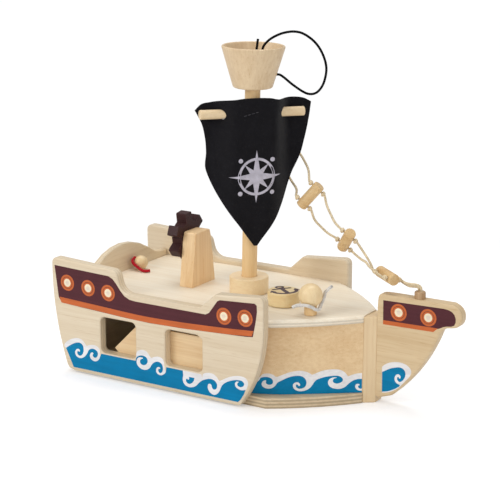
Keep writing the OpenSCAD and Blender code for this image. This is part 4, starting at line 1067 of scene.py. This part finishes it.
def compassPrint(bm):
    cx, cz = compass["centre"]

    def star(count, reach, waist, turn, lift):
        pts = []
        for k in range(2 * count):
            r = reach if k % 2 == 0 else waist
            a = math.radians(turn + 180 * k / count)
            pts.append((cx + r * math.sin(a), cz + r * math.cos(a)))
        paintShape(bm, pts, lift, 0, sailPoint, cell=0.002)
    star(4, compass["reach"], compass["waist"], 0, compassLift["high"])
    star(4, compass["reach"] * compass["shortPart"], compass["shortWaist"], 45, compassLift["low"])
    ring = [(cx + compass["ring"] * math.cos(math.radians(a)), cz + compass["ring"] * math.sin(math.radians(a)))
            for a in range(0, 361, 10)]
    paintRibbon(bm, ring, compass["ringWidth"], compassLift["ring"], 0, sailPoint, step=0.0012, rounded=False)
    for k in range(4):
        a = math.radians(45 + 90 * k)
        spot = roundSpot(cx + compass["dots"] * math.cos(a), cz + compass["dots"] * math.sin(a),
                         compass["dotRadius"], 20)
        paintShape(bm, spot, compassLift["low"], 0, sailPoint, cell=0.0010)


paintPiece("sailPrint", "mast", [motifPrint], compassPrint)
disc = {"centre": (0.045, -0.0175), "top": 0.0878, "turn": 53, "size": 0.0126}


def anchorPrint(bm):
    turn = math.radians(disc["turn"])

    def place(a, b, lift):
        x, y = a * disc["size"], b * disc["size"]
        return Vector((disc["centre"][0] + x * math.cos(turn) - y * math.sin(turn),
                       disc["centre"][1] + x * math.sin(turn) + y * math.cos(turn), disc["top"] + lift))

    def ribbon(points, width, lift=0.00008):
        paintRibbon(bm, points, width, lift, 0, place, step=0.06)
    ribbon([(0, -0.8), (0, 0.0), (0, 0.5)], 0.30)
    ribbon([(-0.60, 0.34), (0.0, 0.34), (0.60, 0.34)], 0.20, 0.00010)
    ribbon([(-0.84, -0.16), (-0.70, -0.52), (-0.40, -0.76), (0, -0.84), (0.40, -0.76), (0.70, -0.52), (0.84, -0.16)],
           0.24, 0.00012)
    ribbon([(0.24 * math.cos(a), 0.72 + 0.20 * math.sin(a)) for a in [k * math.pi / 6 for k in range(13)]],
           0.17, 0.00014)
    for side in (-1, 1):
        paintShape(bm, [(side * 0.84, 0.12), (side * 1.06, -0.26), (side * 0.62, -0.24)], 0.00016, 0, place)


paintPiece("discAnchor", "disc", [anchorPaint], anchorPrint)
print("prints made")


# Geometry Nodes: short stitches along a line
def makeStitchTree():
    tree, given, result = newShapeTree("stitchRow", [
        ("Count", "Int", 4), ("Length", "Float", 0.0022), ("Thread", "Float", 0.00016)])
    line = put(tree, "GeometryNodeMeshToCurve", {"Mesh": given["Geometry"]}).outputs[0]
    spots = put(tree, "GeometryNodeCurveToPoints", {"Curve": line, "Count": given["Count"]})
    thread = put(tree, "GeometryNodeMeshCylinder",
                 {"Vertices": 8, "Side Segments": 4, "Radius": given["Thread"], "Depth": given["Length"]})
    row = put(tree, "GeometryNodeInstanceOnPoints",
              {"Points": spots.outputs["Points"], "Instance": thread.outputs["Mesh"],
               "Rotation": spots.outputs["Rotation"]}).outputs[0]
    return endShapeTree(tree, row, given, result)


stitches = {"from": (-0.0095, 0.2310), "to": (0.0005, 0.2335), "count": 4}
threadCloth = clothMaterial("sailThread", (96, 94, 100), 2.0, 0.2, 0.0001, 0.1)
threadLine = [sailPoint(stitches["from"][0] + (stitches["to"][0] - stitches["from"][0]) * k / 12,
                        stitches["from"][1] + (stitches["to"][1] - stitches["from"][1]) * k / 12, 0.00008)
              for k in range(13)]
stitchPiece = withTree("sailStitches", lineMesh("sailStitches", threadLine), makeStitchTree(),
                       {"Count": stitches["count"], "Finish": threadCloth})
finishPiece(stitchPiece, "mast")
print("stitches sewn")

# floor, world and lights
studio = {"floor": 8.0, "floorColor": (0.86, 0.86, 0.87, 1), "ambient": 0.50, "seenSky": 1.0, "floorGlow": 0.30,
          "shadowReach": 0.26, "shadowFade": 2.2, "farWhite": 1.02}
white = (1, 1, 1, 1)


def makeFloor():
    mesh = bpy.data.meshes.new("floor")
    s = studio["floor"]
    mesh.from_pydata([(-s, -s, 0), (s, -s, 0), (s, s, 0), (-s, s, 0)], [], [(0, 1, 2, 3)])
    floor = newObject("floor", mesh)
    material, tree, shader = newMaterial("studioFloor")
    feed(tree, shader, {"Base Color": studio["floorColor"], "Roughness": 0.9, "Specular IOR Level": 0.1})
    seen = tree.nodes.new("ShaderNodeLightPath").outputs["Is Camera Ray"]
    spot = tree.nodes.new("ShaderNodeTexCoord").outputs["Object"]
    away = put(tree, "ShaderNodeVectorMath", {0: spot}, operation="LENGTH").outputs["Value"]
    far = remap(tree, away, studio["shadowReach"], studio["shadowReach"] * studio["shadowFade"])
    glow = put(tree, "ShaderNodeEmission", {"Color": white,
                                            "Strength": figure(tree, "MULTIPLY", seen, studio["floorGlow"])})
    near = put(tree, "ShaderNodeAddShader", {0: shader.outputs[0], 1: glow.outputs[0]})
    # far off the camera sees plain white, just past clipping: a brighter one would eat into thin dark outlines
    plain = put(tree, "ShaderNodeEmission", {"Color": white, "Strength": studio["farWhite"]})
    both = put(tree, "ShaderNodeMixShader", {0: figure(tree, "MULTIPLY", seen, far), 1: near.outputs[0],
                                             2: plain.outputs[0]})
    target = next(n for n in tree.nodes if n.bl_idname == "ShaderNodeOutputMaterial")
    feed(tree, target, {0: both.outputs[0]})
    mesh.materials.append(material)


def makeWorld():
    world = bpy.data.worlds.new("studio")
    scene.world = world
    world.use_nodes = True
    tree = world.node_tree
    tree.nodes.clear()
    seen = tree.nodes.new("ShaderNodeLightPath").outputs["Is Camera Ray"]
    strength = remap(tree, seen, 0, 1, studio["ambient"], studio["seenSky"])
    sky = put(tree, "ShaderNodeBackground", {"Color": white, "Strength": strength})
    put(tree, "ShaderNodeOutputWorld", {0: sky.outputs[0]})


def softbox(name, place, aim, size, power, color=(1, 1, 1)):
    lamp = bpy.data.objects.new(name, bpy.data.lights.new(name, "AREA"))
    lamp.data.shape, lamp.data.size, lamp.data.energy, lamp.data.color = "DISK", size, power, color
    lamp.location = place
    lamp.rotation_euler = (Vector(aim) - Vector(place)).to_track_quat("-Z", "Y").to_euler()
    scene.collection.objects.link(lamp)


makeFloor()
makeWorld()
softbox("topLight", (-0.2, 0.4, 1.9), (0, 0, 0.1), 1.4, 15)
softbox("frontLight", (-0.9, -1.7, 1.1), (0, 0, 0.1), 1.0, 15, (1.0, 0.99, 0.97))
softbox("sideLight", (1.9, -0.9, 0.9), (0, 0, 0.1), 1.0, 7)
print("studio made")
